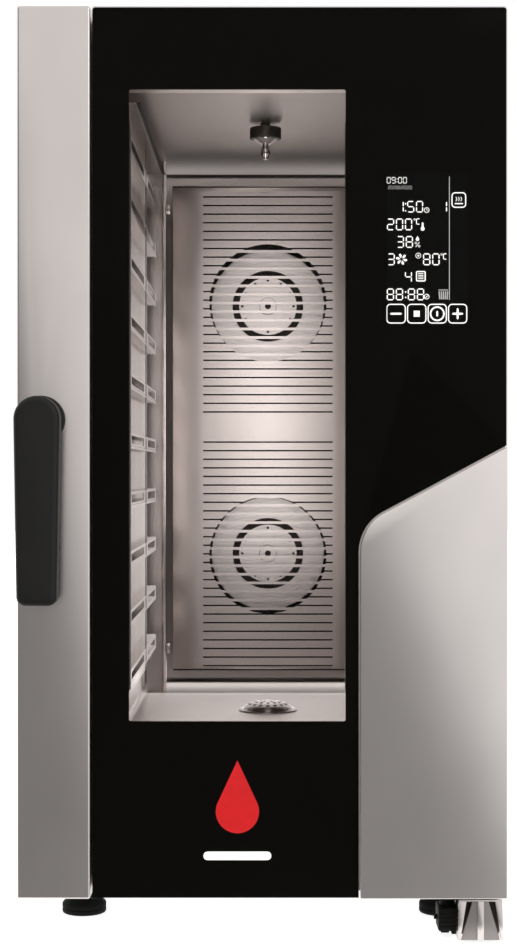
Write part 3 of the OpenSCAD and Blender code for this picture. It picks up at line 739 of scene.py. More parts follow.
class OVEN_OT_display(bpy.types.Operator):
    """Lit digits, symbols and touch keys behind the pane"""
    bl_idname = "oven.display"
    bl_label = "Display symbols"

    def execute(self, context):
        pen = DisplayPen()
        pen.number("09:00", 1.0, 5.6, 6.8)
        # cooking time with a clock, and the step's number
        pen.digit("1", 11.4, 30.9, 12.4)
        for share in (0.25, 0.85):
            pen.disc(21.0, 30.9 + 12.4 * share, 0.8)
        pen.number("50", 22.6, 30.9, 12.4)
        pen.loop(43.4, 40.7, 2.9, 0.7)
        pen.line(43.4, 40.9, 43.4, 39.0, 0.6)
        pen.line(43.3, 40.8, 44.9, 40.8, 0.6)
        pen.number("1", 57.4, 30.9, 12.4)
        # temperature with a thermometer
        pen.number("200", 1.1, 49.6, 12.6)
        pen.degrees(29.6, 49.4)
        pen.line(39.1, 53.4, 39.1, 61.0, 2.0)
        pen.disc(39.1, 60.6, 2.1)
        # moisture with a drop and a percent sign
        pen.number("38", 11.5, 68.2, 12.6)
        pen.shape([(33.6, 68.2), (35.6, 71.6), (35.0, 73.0), (33.6, 73.6), (32.2, 73.0), (31.6, 71.6)])
        pen.loop(31.9, 75.6, 1.2, 0.5)
        pen.loop(35.4, 79.0, 1.2, 0.5)
        pen.line(31.6, 80.0, 35.8, 74.6, 0.7)
        # fan speed with a wheel, and the core probe's temperature
        pen.number("3", 1.6, 86.6, 12.8)
        for turn in range(6):
            a = math.radians(60 * turn + 12)
            out = Vector((math.cos(a), math.sin(a)))
            side = Vector((-out.y, out.x))
            hub = Vector((16.7, 92.9))
            pen.shape([hub + out * 1.2, hub + out * 3.2 - side * 1.2, hub + out * 5.8 - side * 1.1,
                       hub + out * 6.1 + side * 0.6, hub + out * 4.0 + side * 1.6])
        pen.loop(34.5, 89.1, 3.0, 0.6)
        pen.disc(34.5, 89.1, 1.1)
        pen.number("80", 39.5, 86.6, 12.8)
        pen.degrees(58.2, 86.6)
        # shelves in use, with a cabinet
        pen.number("4", 20.2, 105.6, 12.2)
        pen.key(32.0, 105.4, 42.4, 116.6, 1.6, 1.3)
        for i in range(4):
            pen.line(34.2, 108.2 + 1.8 * i, 40.2, 108.2 + 1.8 * i, 0.8)
        # waiting time and the bin
        pen.number("88:88", 0.9, 123.9, 12.7)
        pen.loop(43.4, 132.6, 2.9, 0.7)
        pen.line(42.0, 134.0, 44.8, 131.2, 0.9)
        # dividing line, steam key and the four lower keys
        pen.key(69.7, 21.7, 85.4, 38.3, 4.0, 1.2)
        for x in (75.0, 77.6, 80.2):
            pen.line(x - 0.6, 31.4, x + 0.6, 29.0, 0.8)
            pen.line(x + 0.6, 29.0, x - 0.6, 26.6, 0.8)
        pen.line(73.0, 33.8, 82.2, 33.8, 1.3)
        for x0, x1 in ((0.4, 21.3), (22.4, 43.2), (44.3, 64.9), (66.0, 86.6)):
            pen.key(x0, 140.2, x1, 161.3, 4.6, 1.2)
        pen.line(4.4, 150.8, 17.2, 150.8, 2.2)
        pen.shape([(29.6, 147.6), (36.0, 147.6), (36.0, 154.0), (29.6, 154.0)])
        pen.loop(54.6, 150.8, 8.0, 1.8)
        pen.line(54.6, 147.6, 54.6, 154.0, 2.0)
        pen.line(70.2, 150.8, 82.4, 150.8, 2.2)
        pen.line(76.3, 144.7, 76.3, 156.9, 2.2)
        piece(join(pen.made), "display_symbols", "door", "digits")

        # dimmer: the date row, the bin and the dividing line
        pen = DisplayPen()
        for text, x in (("20", 2.4), ("08", 9.8), ("2020", 17.2)):
            pen.number(text, x, 14.9, 3.6)
        for x in (8.2, 15.6):
            pen.line(x, 18.5, x + 1.2, 14.9, 0.45)
        for i in range(5):
            pen.line(56.6 + 2.3 * i, 126.8, 57.4 + 1.9 * i, 135.8, 1.3)
        pen.line(55.6, 125.6, 66.2, 125.6, 1.0)
        pen.shape([(67.1, 5.0), (67.9, 5.0), (67.9, 136.2), (67.1, 136.2)])
        piece(join(pen.made), "display_dim_symbols", "door", "dim_digits")
        return {"FINISHED"}


class OVEN_OT_badge(bpy.types.Operator):
    """A plain red drop and a white bar printed under the window, both glowing a little as painted light"""
    bl_idname = "oven.badge"
    bl_label = "Badge"

    def execute(self, context):
        mid = (MID_X - 32.4 * MM, 0.1400)
        radius, length = 23 * MM, 54.4 * MM
        tip = (mid[0], mid[1] + length)
        reach = math.degrees(math.acos(radius / length))
        outline = arc(mid, radius, 90 + reach, 450 - reach, 40) + [tip]
        y0, y1 = FRONT + 5.02 * MM, FRONT + 4.86 * MM
        piece(front_prism(outline, y0, y1), "printed_drop", "door", "badge")
        # the white bar takes the lit digits' finish, so the print glows: painted light
        bar = round_outline(mid[0] - 36 * MM, 0.0885, mid[0] + 36 * MM, 0.0975, 4.4 * MM)
        piece(front_prism(bar, y0, y1), "printed_bar", "door", "digits")
        return {"FINISHED"}


# ------------------------------------------------------------------ casing

def louvres(x0, x1, y0, y1, z0, count, pitch, outward):
    """A column of pressed louvres, each a rounded hood standing out of its sheet"""
    lift = 3.2 * MM
    steps = ((0, 0), (lift, -1.5 * MM), (lift, -3.5 * MM), (0, 6 * MM))
    hood = [(x0 + outward.x * reach, y0 + outward.y * reach, z0 + rise) for reach, rise in steps]
    made = prism(hood, (x1 - x0, 0, 0) if outward.y else (0, y1 - y0, 0))
    return copies(bevelled(made, 0.5 * MM, 2, 20), [(0, 0, pitch * i) for i in range(count)])


class OVEN_OT_casing(bpy.types.Operator):
    """Folded side sheets, roof and rear sheet, with louvres and room for the latch hook"""
    bl_idname = "oven.casing"
    bl_label = "Casing"

    def execute(self, context):
        fold = context.scene.oven_sizes.fold_radius
        right = SIDE_HI.x
        for side, name, node in ((1, "side_sheet_right", "right_side_panel"),
                                 (-1, "side_sheet_left", "left_side_panel")):
            lo = (min(side * right, side * (right - 15 * MM)), SIDE_LO.y, SIDE_LO.z)
            hi = (max(side * right, side * (right - 15 * MM)), SIDE_HI.y, SIDE_HI.z)
            sheet = hollow_shell(bevelled(block(lo, hi), fold, 3), 1.4 * MM, (-side, 0, 0))
            if side == 1:
                slot = block((right - 3 * MM, 0.130, 0.120), (right + 3 * MM, 0.250, 0.1232))
                column, row, rows = 0.135, 0.014, 10
                places = [(0, column * j, row * i) for i in range(rows) for j in range(2)]
                sheet = cut(sheet, copies(slot, places))
                hoods = [louvres(right - 0.1 * MM, 0, 0.130 + column * j, 0.250 + column * j, 0.1242, rows,
                                 row, Vector((0.4, 0, 0))) for j in range(2)]
                sheet = join([sheet] + hoods)
            if side == -1:
                # room for the latch hook's turn behind the front fold
                lo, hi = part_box("latch_hook")
                sheet = cut(sheet, block((-right + 1.6 * MM, SIDE_LO.y - 2 * MM, lo.z - 30 * MM),
                                         (-right + 20 * MM, hi.y + 15 * MM, hi.z + 30 * MM)))
            piece(sheet, name, "cabinet", "side_sheet", [node])
        roof = hollow_shell(bevelled(block((ROOF_LO.x, ROOF_LO.y, ROOF_HI.z - 12 * MM), ROOF_HI), fold, 3),
                            1.2 * MM, (0, 0, -1))
        duct_lo, duct_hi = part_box("vent_chimney")
        duct = ((duct_lo.x + duct_hi.x) / 2, (duct_lo.y + duct_hi.y) / 2)
        roof = cut(roof, rod((*duct, ROOF_HI.z - 0.03), (*duct, ROOF_HI.z + 0.03), 20.6 * MM))
        piece(roof, "roof_sheet", "cabinet", "side_sheet", ["top_panel"])

        rear = bevelled(block((BACK_LO.x, BACK_LO.y, BACK_LO.z), BACK_HI), 0.4 * MM, 1)
        holes = []
        for node in ("drain_pipe", "water_fitting", "cable_gland"):
            lo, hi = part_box(node)
            x, z = ((lo.x + hi.x) / 2, (lo.z + hi.z) / 2)
            if node == "drain_pipe":
                z = lo.z + 20 * MM
            radius = 20.4 * MM if node == "drain_pipe" else 13.8 * MM
            holes.append(rod((x, BACK_LO.y - PAST, z), (x, BACK_HI.y + PAST, z), radius))
        fan_lo, fan_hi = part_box("cooling_fan_rotor")
        fan_x, fan_z = (fan_lo.x + fan_hi.x) / 2, (fan_lo.z + fan_hi.z) / 2
        slit = block((fan_x - 34 * MM, BACK_LO.y - PAST, fan_z - 32 * MM),
                     (fan_x + 34 * MM, BACK_HI.y + PAST, fan_z - 28 * MM))
        holes.append(copies(slit, [(0, 0, 10 * MM * i) for i in range(7)]))
        rear = cut(rear, *holes)
        hoods = [louvres(x, x + 0.09, BACK_HI.y - 0.1 * MM, 0, 0.850, 10, 0.012, Vector((0, 0.9, 0)))
                 for x in (-0.170, 0.080)]
        piece(join([rear] + hoods), "rear_sheet", "cabinet", "galvanised_sheet", ["rear_panel"])
        return {"FINISHED"}


# ------------------------------------------------------------------ cooking chamber

class OVEN_OT_chamber(bpy.types.Operator):
    """The stainless cooking chamber with rounded corners and its openings"""
    bl_idname = "oven.chamber"
    bl_label = "Cooking chamber"

    def execute(self, context):
        box = bevelled(block(CHAMBER_LO, CHAMBER_HI), 9 * MM, 5)
        box = hollow_shell(box, 1.2 * MM, (0, -1, 0))
        mouth = block((CHAMBER_LO.x - PAST, CHAMBER_LO.y - PAST, CHAMBER_LO.z - PAST),
                      (CHAMBER_HI.x + PAST, CHAMBER_LO.y + 0.1 * MM, CHAMBER_HI.z + PAST))
        cover_lo, cover_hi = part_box("drain_strainer")
        drain = ((cover_lo.x + cover_hi.x) / 2, (cover_lo.y + cover_hi.y) / 2)
        hole = rod((*drain, CHAMBER_LO.z - 0.03), (*drain, CHAMBER_LO.z + 0.03), 22 * MM)
        piece(cut(box, mouth, hole), "cooking_chamber", "cabinet", "stainless_inner", ["chamber"],
              30)
        return {"FINISHED"}


class OVEN_OT_guard(bpy.types.Operator):
    """The slotted suction guard, its dark liner and dark edge cords that paint shade, side posts and spring
    clips
    """
    bl_idname = "oven.guard"
    bl_label = "Fan guard"

    def execute(self, context):
        pitch = context.scene.oven_sizes.slot_pitch
        plate = hollow_shell(bevelled(block(GUARD_LO, GUARD_HI), 1.2 * MM, 2), 1.2 * MM, (0, 1, 0))
        half_w, half_h = 90.7 * MM, 4.2 * MM
        slots = []
        for top, count in ((887.5 * MM, 26), (544.3 * MM, 27)):
            slots += [(0, 0, top - pitch * i) for i in range(count)]
        before, after = GUARD_LO.y - PAST, GUARD_LO.y + 2 * PAST
        cutter = block((MID_X - half_w, before, -half_h), (MID_X + half_w, GUARD_LO.y + PAST, half_h))
        plate = cut(plate, copies(bevelled(cutter, 1.0 * MM, 2, 80), slots))
        # inner plate close behind the slots, with a round mouth before each fan
        inner = block((GUARD_LO.x + 3 * MM, GUARD_LO.y + 2.2 * MM, GUARD_LO.z + 3 * MM),
                      (GUARD_HI.x - 3 * MM, GUARD_LO.y + 3.4 * MM, GUARD_HI.z - 3 * MM))
        # thin slits along each slot's lower part, through which the dark liner shows as lines of painted
        # shade
        slit = block((MID_X - half_w, before, -2.7 * MM), (MID_X + half_w, after, -0.6 * MM))
        inner = cut(inner, copies(slit, slots))
        # dark liner on the inner plate's back: painted shade, seen through thin slits as a dark line under
        # each slot
        shade_liner = block((GUARD_LO.x + 4 * MM, GUARD_LO.y + 3.6 * MM, GUARD_LO.z + 4 * MM),
                      (GUARD_HI.x - 4 * MM, GUARD_LO.y + 4.2 * MM, GUARD_HI.z - 4 * MM))
        for name in ("upper", "lower"):
            lo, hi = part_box(f"fan_{name}")
            z = (lo.z + hi.z) / 2
            inner = cut(inner, rod((MID_X, before, z), (MID_X, after, z), 82 * MM, 96))
            shade_liner = cut(shade_liner, rod((MID_X, before, z), (MID_X, after, z), 82.4 * MM, 96))
        piece(shade_liner, "guard_shade_liner", "cabinet", "black_enamel")
        piece(join([plate, inner]), "suction_guard", "cabinet", "guard_sheet", ["fan_guard"])

        # dark cords in the silicone finish along the sheet's upper and lower edges: painted shade of the gaps
        # to the ceiling and the floor
        shade_cords = [bevelled(block((GUARD_LO.x + 1 * MM, GUARD_LO.y - 0.4 * MM, z),
                                (GUARD_HI.x - 1 * MM, GUARD_LO.y + 2 * MM, z + 1.6 * MM)), 0.4 * MM)
                 for z in (GUARD_LO.z - 1.6 * MM, GUARD_HI.z - 2.6 * MM)]
        piece(join(shade_cords), "guard_edge_shade_cords", "cabinet", "seal_silicone")

        lo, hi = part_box("guard_posts")
        parts = []
        post_mm, clip_mm, clip_heights = 145.2, 139.6, (0.255, 0.867)
        for side in (-1, 1):
            x = MID_X + side * post_mm * MM
            post = block((x - 2.8 * MM, lo.y + 4 * MM, lo.z), (x + 2.8 * MM, hi.y, hi.z))
            parts.append(bevelled(post, 0.8 * MM))
            wing = (MID_X + side * 147.5 * MM, MID_X + side * 174.4 * MM)
            parts.append(block((min(wing), hi.y - 1.2 * MM, lo.z), (max(wing), hi.y, hi.z)))
            clip_x = MID_X + side * clip_mm * MM
            for z in clip_heights:
                parts.append(bevelled(block((clip_x - 3.4 * MM, lo.y, z - 7 * MM),
                                            (clip_x + 3.4 * MM, lo.y + 4 * MM, z + 7 * MM)), 1.2 * MM))
                parts.append(rod((clip_x, lo.y - 0.8 * MM, z), (clip_x, lo.y + 2 * MM, z), 2.4 * MM, 20))
        piece(join(parts), "guard_supports", "cabinet", "rack_sheet", ["guard_posts"])
        return {"FINISHED"}


def build_rack(sizes, side):
    """A stamped side rack: plate, box rails with windowed fronts, and top flange"""
    plate_x, lip_x, edge_x, wall = 168 * MM, 154 * MM, -145 * MM, 1.2 * MM
    y0, y1, z0, z1 = RACK_LO.y, RACK_HI.y, RACK_LO.z, RACK_HI.z
    heights = [277.5 * MM + sizes.rail_pitch * i for i in range(10)]
    plate = block((-plate_x, y0, z0), (-plate_x + wall, y1, z1))
    web = block((-lip_x - wall, y0, -14.8 * MM), (-lip_x - 0.4 * MM, y1, -0.6 * MM))
    windows = []
    for start, end in ((0.042, 0.255), (0.335, 0.480)):
        hole = block((-lip_x - PAST, y0 + start, -12.6 * MM), (-lip_x + PAST, y0 + end, -3.4 * MM))
        windows.append(bevelled(hole, 2.5 * MM, 2, 80))
    webs = copies(cut(web, *windows), [(0, 0, z) for z in heights])
    lip = [(-plate_x + 0.5 * wall, 0), (-lip_x - 0.8 * MM, 0), (-lip_x, -0.8 * MM), (-lip_x, -3.2 * MM),
           (-lip_x - wall, -3.2 * MM), (-lip_x - wall, -wall), (-plate_x + 0.5 * wall, -wall)]
    rail = front_prism(lip, y0, y1)
    rails = copies(rail, [(0, 0, z - dz) for z in heights for dz in (0, 15 * MM)])
    flange = front_prism([(-plate_x + 0.5 * wall, z1), (-145.8 * MM, z1), (edge_x, z1 - 0.8 * MM),
                          (edge_x, z1 - 5 * MM), (edge_x - wall, z1 - 5 * MM),
                          (edge_x - wall, z1 - wall), (-plate_x + 0.5 * wall, z1 - wall)], y0, y1)
    return on_side(join([plate, webs, rails, flange]), side)


def build_rack_shade_strips(side):
    """Dark strips in the silicone finish that paint shade: along the edge of the rack's flange and as the
    shadow line in its upright crease
    """
    y0, y1, z0, z1 = RACK_LO.y, RACK_HI.y, RACK_LO.z, RACK_HI.z
    crease_shade = block((-155 * MM, y0 + 0.294, z0), (-153.9 * MM, y0 + 0.297, z1 - 2 * MM))
    flange_shade = bevelled(block((-145.2 * MM, y0, z1 - 2 * MM), (-140.8 * MM, y1, z1 - 0.6 * MM)), 0.5 * MM)
    return on_side(join([crease_shade, flange_shade]), side)


def on_side(ob, side):
    """Puts a left-hand shape on the left, or mirrors it to the right"""
    if side > 0:
        pick(ob)
        ob.scale.x = -1
        settle(ob)
        pick(ob)
        bpy.ops.object.mode_set(mode="EDIT")
        end_edit(ob)
    ob.data.transform(Matrix.Translation((MID_X, 0, 0)))
    return ob


class OVEN_OT_racks(bpy.types.Operator):
    """The two stamped shelf racks and the studs that they hang on"""
    bl_idname = "oven.racks"
    bl_label = "Shelf racks"

    def execute(self, context):
        sizes = context.scene.oven_sizes
        for side, name in ((-1, "left"), (1, "right")):
            piece(build_rack(sizes, side), f"shelf_rack_{name}", f"{name}_rack", "rack_sheet",
                  [f"rack_{name}"])
            # dark strips on each rack: painted shade at the flange's edge and in the upright crease
            piece(build_rack_shade_strips(side), f"rack_shade_strip_{name}", f"{name}_rack", "seal_silicone")
        studs = []
        for side in (-1, 1):
            for y in (0.120, 0.585):
                for z in (0.250, 0.8935):
                    stud = turned([(0, 0), (3, 0), (3, 10.9), (5, 11), (5.6, 11.8), (5.6, 14), (4.8, 15),
                                   (0, 15)], (0, 0, 0), 24)
                    stud.rotation_euler = (0, -side * math.pi / 2, 0)
                    stud.location = (MID_X + side * 175 * MM, FRONT + y, z)
                    studs.append(settle(stud))
        piece(join(studs), "rack_hanging_studs", "cabinet", "rack_sheet", ["rack_studs"])
        return {"FINISHED"}


class OVEN_OT_fans(bpy.types.Operator):
    """Centrifugal fan wheels with swept blades, rings and hub plates"""
    bl_idname = "oven.fans"
    bl_label = "Fan wheels"

    def execute(self, context):
        count = context.scene.oven_sizes.blade_count
        for name in ("upper", "lower"):
            lo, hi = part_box(f"fan_{name}")
            z = (lo.z + hi.z) / 2
            face = lo.y + 3 * MM
            centre = (MID_X, z)
            axis = (MID_X, 0, z)
            back = ring(centre, 94.9 * MM, 7 * MM, face + 37 * MM, face + 39 * MM, 64)
            rim = lathe([(r * MM, face + h * MM) for r, h in
                         ((50, 1.2), (50.6, 0), (80, 0), (81, 1), (81, 5), (80, 5), (79.6, 1.6), (51.4, 1.4),
                          (50, 1.2))], axis, "Y", 64)
            hub = ring(centre, 41 * MM, 4.3 * MM, face, face + 2 * MM, 48)
            hole_x = MID_X + 36.6 * MM
            hole = rod((hole_x, face - PAST, z), (hole_x, face + PAST, z), 1.8 * MM, 12)
            hub = cut(hub, turned_copies(hole, 12, (MID_X, 0, z)))
            cap = lathe([(r * MM, face + h * MM) for r, h in
                         ((4.3, -2), (11.6, -2), (12.4, -1.2), (12.4, -0.4), (13.6, -0.4), (13.6, 0.4),
                          (4.3, 0.4), (4.3, -2))], axis, "Y", 40)
            core = ring(centre, 16 * MM, 7 * MM, face + 2 * MM, face + 37 * MM, 32)
            shaft = rod((MID_X, face + 20 * MM, z), (MID_X, hi.y, z), 7.9 * MM)
            sweep, thick = 38, 0.7 * MM
            line = [(47 * MM + 46 * MM * i / 8, math.radians(sweep * (i / 8) ** 1.2)) for i in range(9)]
            side_a = [(MID_X + (r + thick) * math.cos(a), z + (r + thick) * math.sin(a) - thick)
                      for r, a in line]
            side_b = [(MID_X + r * math.cos(a + 0.018), z + r * math.sin(a + 0.018)) for r, a in line]
            blade = front_prism(side_a + side_b[::-1], face + 1 * MM, face + 37.5 * MM)
            blades = turned_copies(blade, count, (MID_X, 0, z))
            piece(join([rim, hub, cap]), f"fan_wheel_{name}", f"fan_rotor_{name}", "fan_steel",
                  [f"fan_{name}"])
            # the wheel's back, core, shaft and blades in the dark steel: painted shade of the fan's deep
            # inside
            piece(join([back, core, shaft, blades]), f"fan_blades_{name}", f"fan_rotor_{name}",
                  "shade_dark_steel")
        return {"FINISHED"}


class OVEN_OT_nozzle(bpy.types.Operator):
    """The wash nozzle on the ceiling and its spray bulb"""
    bl_idname = "oven.nozzle"
    bl_label = "Wash nozzle"

    def execute(self, context):
        lo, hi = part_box("spray_nozzle")
        x, y = (lo.x + hi.x) / 2 - 3 * MM, (lo.y + hi.y) / 2
        top = CHAMBER_HI.z - 1.2 * MM
        nut = bevelled(rod((x, y, top - 19 * MM), (x, y, top - 5 * MM), 19.6 * MM, 48), 0.8 * MM, 2, 40)
        collar = lathe([(0, -26 * MM), (6 * MM, -26 * MM), (7.5 * MM, -25 * MM), (15.5 * MM, -20 * MM),
                      (16 * MM, -18.6 * MM), (0, -18.6 * MM)], (x, y, top), "Z", 40)
        stem = rod((x, y, top - 2 * MM), (x, y, hi.z), 6 * MM)
        piece(join([nut, stem]), "wash_nozzle", "cabinet", "nozzle_metal", ["spray_nozzle"])
        tip_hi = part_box("spray_tip")[1]
        bulb = turned([(0, 0), (4, 0), (4, -2.6), (4.6, -3.6), (5.4, -6), (6, -9.6), (6, -11), (5.7, -13.6),
                       (4.6, -16.6), (3, -18.4), (0, -19)], (x, y, tip_hi.z), 32)
        jet = rod((x + 4 * MM, y, tip_hi.z - 9 * MM), (x + 9 * MM, y, tip_hi.z - 12 * MM), 0.9 * MM, 10)
        jets = turned_copies(jet, 4, (x, y, tip_hi.z), "Z")
        piece(join([cut(bulb, jets), collar]), "spray_bulb", "cabinet", "chromed_metal", ["spray_tip"])
        return {"FINISHED"}


class OVEN_OT_drain_cover(bpy.types.Operator):
    """The domed and perforated drain cover"""
    bl_idname = "oven.drain_cover"
    bl_label = "Drain cover"

    def execute(self, context):
        lo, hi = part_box("drain_strainer")
        centre = ((lo.x + hi.x) / 2, (lo.y + hi.y) / 2, CHAMBER_LO.z + 1.2 * MM + 0.3 * MM)
        dome = turned([(0, 12.4), (8, 12.1), (15, 11.2), (22, 9.4), (28, 6.8), (31, 4.0), (33, 1.6),
                       (37.4, 1.4), (38, 0.8), (38, 0), (32, 0), (30, 3.0), (27, 5.6), (21.4, 8.2),
                       (14.8, 9.9), (8, 10.8), (0, 11.1)], centre, 56)
        holes = []
        for radius, count, size in ((9, 6, 2.0), (16.5, 12, 2.2), (24.5, 16, 2.4)):
            hole = rod((centre[0] + radius * MM, centre[1], centre[2] - PAST),
                       (centre[0] + radius * MM, centre[1], centre[2] + 0.03), size * MM, 12)
            holes.append(turned_copies(hole, count, centre, "Z"))
        tube = ring_z(centre, 21.2 * MM, 19.8 * MM, -12 * MM, 8.4 * MM)
        piece(join([cut(dome, *holes), tube]), "drain_cover", "strainer", "chromed_metal", ["drain_strainer"])
        return {"FINISHED"}


def ring_z(centre, outer, inner, low, high):
    """An upright tube"""
    return lathe([(inner, low), (outer, low), (outer, high), (inner, high), (inner, low)], centre, "Z", 40)


# ------------------------------------------------------------------ under and behind

class OVEN_OT_feet(bpy.types.Operator):
    """Four black levelling feet with ribbed pads"""
    bl_idname = "oven.feet"
    bl_label = "Levelling feet"

    def execute(self, context):
        profile = [(0, 0), (22.5, 0), (24.2, 0.8), (25, 2.4), (25, 5), (24.2, 5.6), (24.2, 6.6), (25, 7.2),
                   (25, 11), (24, 12.6), (17, 18.6), (14, 22), (12.6, 24), (12.6, 40), (11.6, 42), (5, 42)]
        thread = [(5 if i % 2 else 4.4, 42 + 0.75 * i) for i in range(1, 38)]
        for place in ("front_left", "front_right", "rear_left", "rear_right"):
            lo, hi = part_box(f"foot_{place}")
            foot = turned(profile + thread + [(0, 70.6)], ((lo.x + hi.x) / 2, (lo.y + hi.y) / 2, lo.z), 40)
            piece(foot, f"levelling_foot_{place}", f"{place}_leg", "foot_rubber", [f"foot_{place}"])
        return {"FINISHED"}


class OVEN_OT_outlet(bpy.types.Operator):
    """The folded steel outlet, a dark plate behind it that paints the shade inside the channel, and the black
    valve beside it, under the front edge
    """
    bl_idname = "oven.outlet"
    bl_label = "Outlet and valve"

    def execute(self, context):
        lo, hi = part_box("drain_chute")
        z0, z1 = lo.z, hi.z - 3 * MM

        def fold(points, y0, y1):
            outline = [(x * MM, z0 if low else z1) for x, low in points]
            return bevelled(front_prism(outline, FRONT + y0 * MM, FRONT + y1 * MM), 0.5 * MM, 2)

        parts = [fold([(207.5, 1), (210.2, 1), (217, 0), (209, 0)], 3, 60),
                 fold([(253.8, 1), (256.5, 1), (255, 0), (247, 0)], 3, 60),
                 fold([(228.5, 1), (235.5, 1), (235.5, 0), (228.5, 0)], 3.4, 6.4),
                 bevelled(block((0.209, lo.y, z1 - 0.4 * MM), (0.255, hi.y, z1 + 1.6 * MM)), 0.5 * MM),
                 block((0.209, FRONT + 0.070, z1 + 1.2 * MM), (0.255, hi.y, hi.z))]
        piece(join(parts), "outlet_chute", "cabinet", "stainless_casing", ["drain_chute"])

        panel = fold([(211.2, 1), (252.8, 1), (240.5, 0), (223.5, 0)], 6, 8)
        piece(panel, "outlet_panel", "cabinet", "outlet_sheet")
        # dark plate behind the outlet: painted shade of the channel's inner sides
        back = block((0.2105, FRONT + 30 * MM, z0 + 1 * MM), (0.2535, FRONT + 31.2 * MM, z1))
        piece(back, "outlet_shade_back", "cabinet", "shade_dark_steel")

        v_lo, v_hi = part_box("water_valve")
        parts = [bevelled(block((0.189, FRONT + 0.024, 0.008), (0.210, FRONT + 0.060, 0.033)), 1.6 * MM, 3),
                 bevelled(block((0.192, FRONT + 0.030, 0.005), (0.201, FRONT + 0.054, 0.0085)), 0.8 * MM),
                 bevelled(block((0.2035, FRONT + 0.030, v_lo.z), (0.210, FRONT + 0.054, 0.0085)), 0.8 * MM),
                 bevelled(block((0.191, FRONT + 0.030, 0.040), (0.208, v_hi.y, v_hi.z)), 0.8 * MM),
                 rod((0.1995, FRONT + 0.042, 0.032), (0.1995, FRONT + 0.042, 0.041), 8 * MM),
                 rod((v_lo.x, FRONT + 0.042, 0.020), (0.190, FRONT + 0.042, 0.020), 2.8 * MM, 24),
                 copies(block((0.1892, FRONT + 0.0232, 0.012), (0.2098, FRONT + 0.025, 0.0132)),
                        [(0, 0, 0.0045 * i) for i in range(4)])]
        piece(join(parts), "outlet_valve", "cabinet", "black_plastic", ["water_valve"])
        return {"FINISHED"}


class OVEN_OT_connections(bpy.types.Operator):
    """Rear connections: threaded water inlet and cable gland"""
    bl_idname = "oven.connections"
    bl_label = "Connections"

    def execute(self, context):
        lo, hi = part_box("water_fitting")
        x, z = (lo.x + hi.x) / 2, (lo.z + hi.z) / 2
        outside = [(9, 0), (12.8, 0)]
        for i in range(1, 17):
            outside += [(13.2, -0.6 - 1.8 * i + 0.9), (12.3, -0.6 - 1.8 * i)]
        outside += [(13.2, -30), (13.2, -48), (9, -48), (9, 0)]
        thread = lathe([(r * MM, h * MM) for r, h in outside], (x, hi.y, z), "Y", 40)
        nut = rear_nut((x, BACK_HI.y - 10 * MM, z), 19 * MM, 8 * MM, 1 * MM)
        piece(join([thread, nut]), "water_inlet_thread", "cabinet", "brass_fitting", ["water_fitting"])

        lo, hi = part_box("cable_gland")
        x, z = (lo.x + hi.x) / 2, (lo.z + hi.z) / 2
        dome = lathe([(r * MM, h * MM) for r, h in
                      [(7.5, -34), (12, -34), (12, -14), (13, -14), (13, -5), (12.4, -2.4), (10.4, -0.4),
                       (8.6, 0), (7.5, -0.6), (7.5, -34)]], (x, hi.y, z), "Y", 40)
        nut = rear_nut((x, BACK_HI.y + 4 * MM, z), 15 * MM, 7.8 * MM, 0.8 * MM)
        nut = cut(nut, rod((x, lo.y, z), (x, hi.y, z), 7.6 * MM))
        ribs = turned_copies(block((x + 12.6 * MM, BACK_HI.y + 9 * MM, z - 0.7 * MM),
                                   (x + 13.6 * MM, BACK_HI.y + 17 * MM, z + 0.7 * MM)), 16, (x, 0, z))
        piece(join([dome, nut, ribs]), "gland_nut", "cabinet", "black_plastic", ["cable_gland"])
        return {"FINISHED"}


class OVEN_OT_finishes(bpy.types.Operator):
    """Paints every CAD node that still shows"""
    bl_idname = "oven.finishes"
    bl_label = "Frame finishes"

    def execute(self, context):
        own = {"front_frame": "rack_sheet", "door_frame": "rack_sheet"}
        for row in frame["record"]["subparts"]:
            ob = NODES[row["node"]]
            name = own.get(row["node"], row["material_slot"])
            ob.data.materials.clear()
            ob.data.materials.append(MATERIALS[name])
            if not ob.hide_render:
                smooth(ob, 35)
        clear_selection()
        return {"FINISHED"}


# ------------------------------------------------------------------ stage

def soft_lamp(name, place, aim, size, power, warmth=(1, 1, 1), seen=True):
    """A rectangular soft light turned to a point"""
    clear_selection()
    bpy.ops.object.light_add(type="AREA", location=place)
    lamp = bpy.context.object
    lamp.name = name
    lamp.rotation_euler = (Vector(aim) - Vector(place)).to_track_quat("-Z", "Y").to_euler()
    lamp.data.shape = "RECTANGLE"
    lamp.data.size, lamp.data.size_y = size
    lamp.data.energy = power
    lamp.data.color = warmth
    lamp.visible_camera = seen
    return lamp


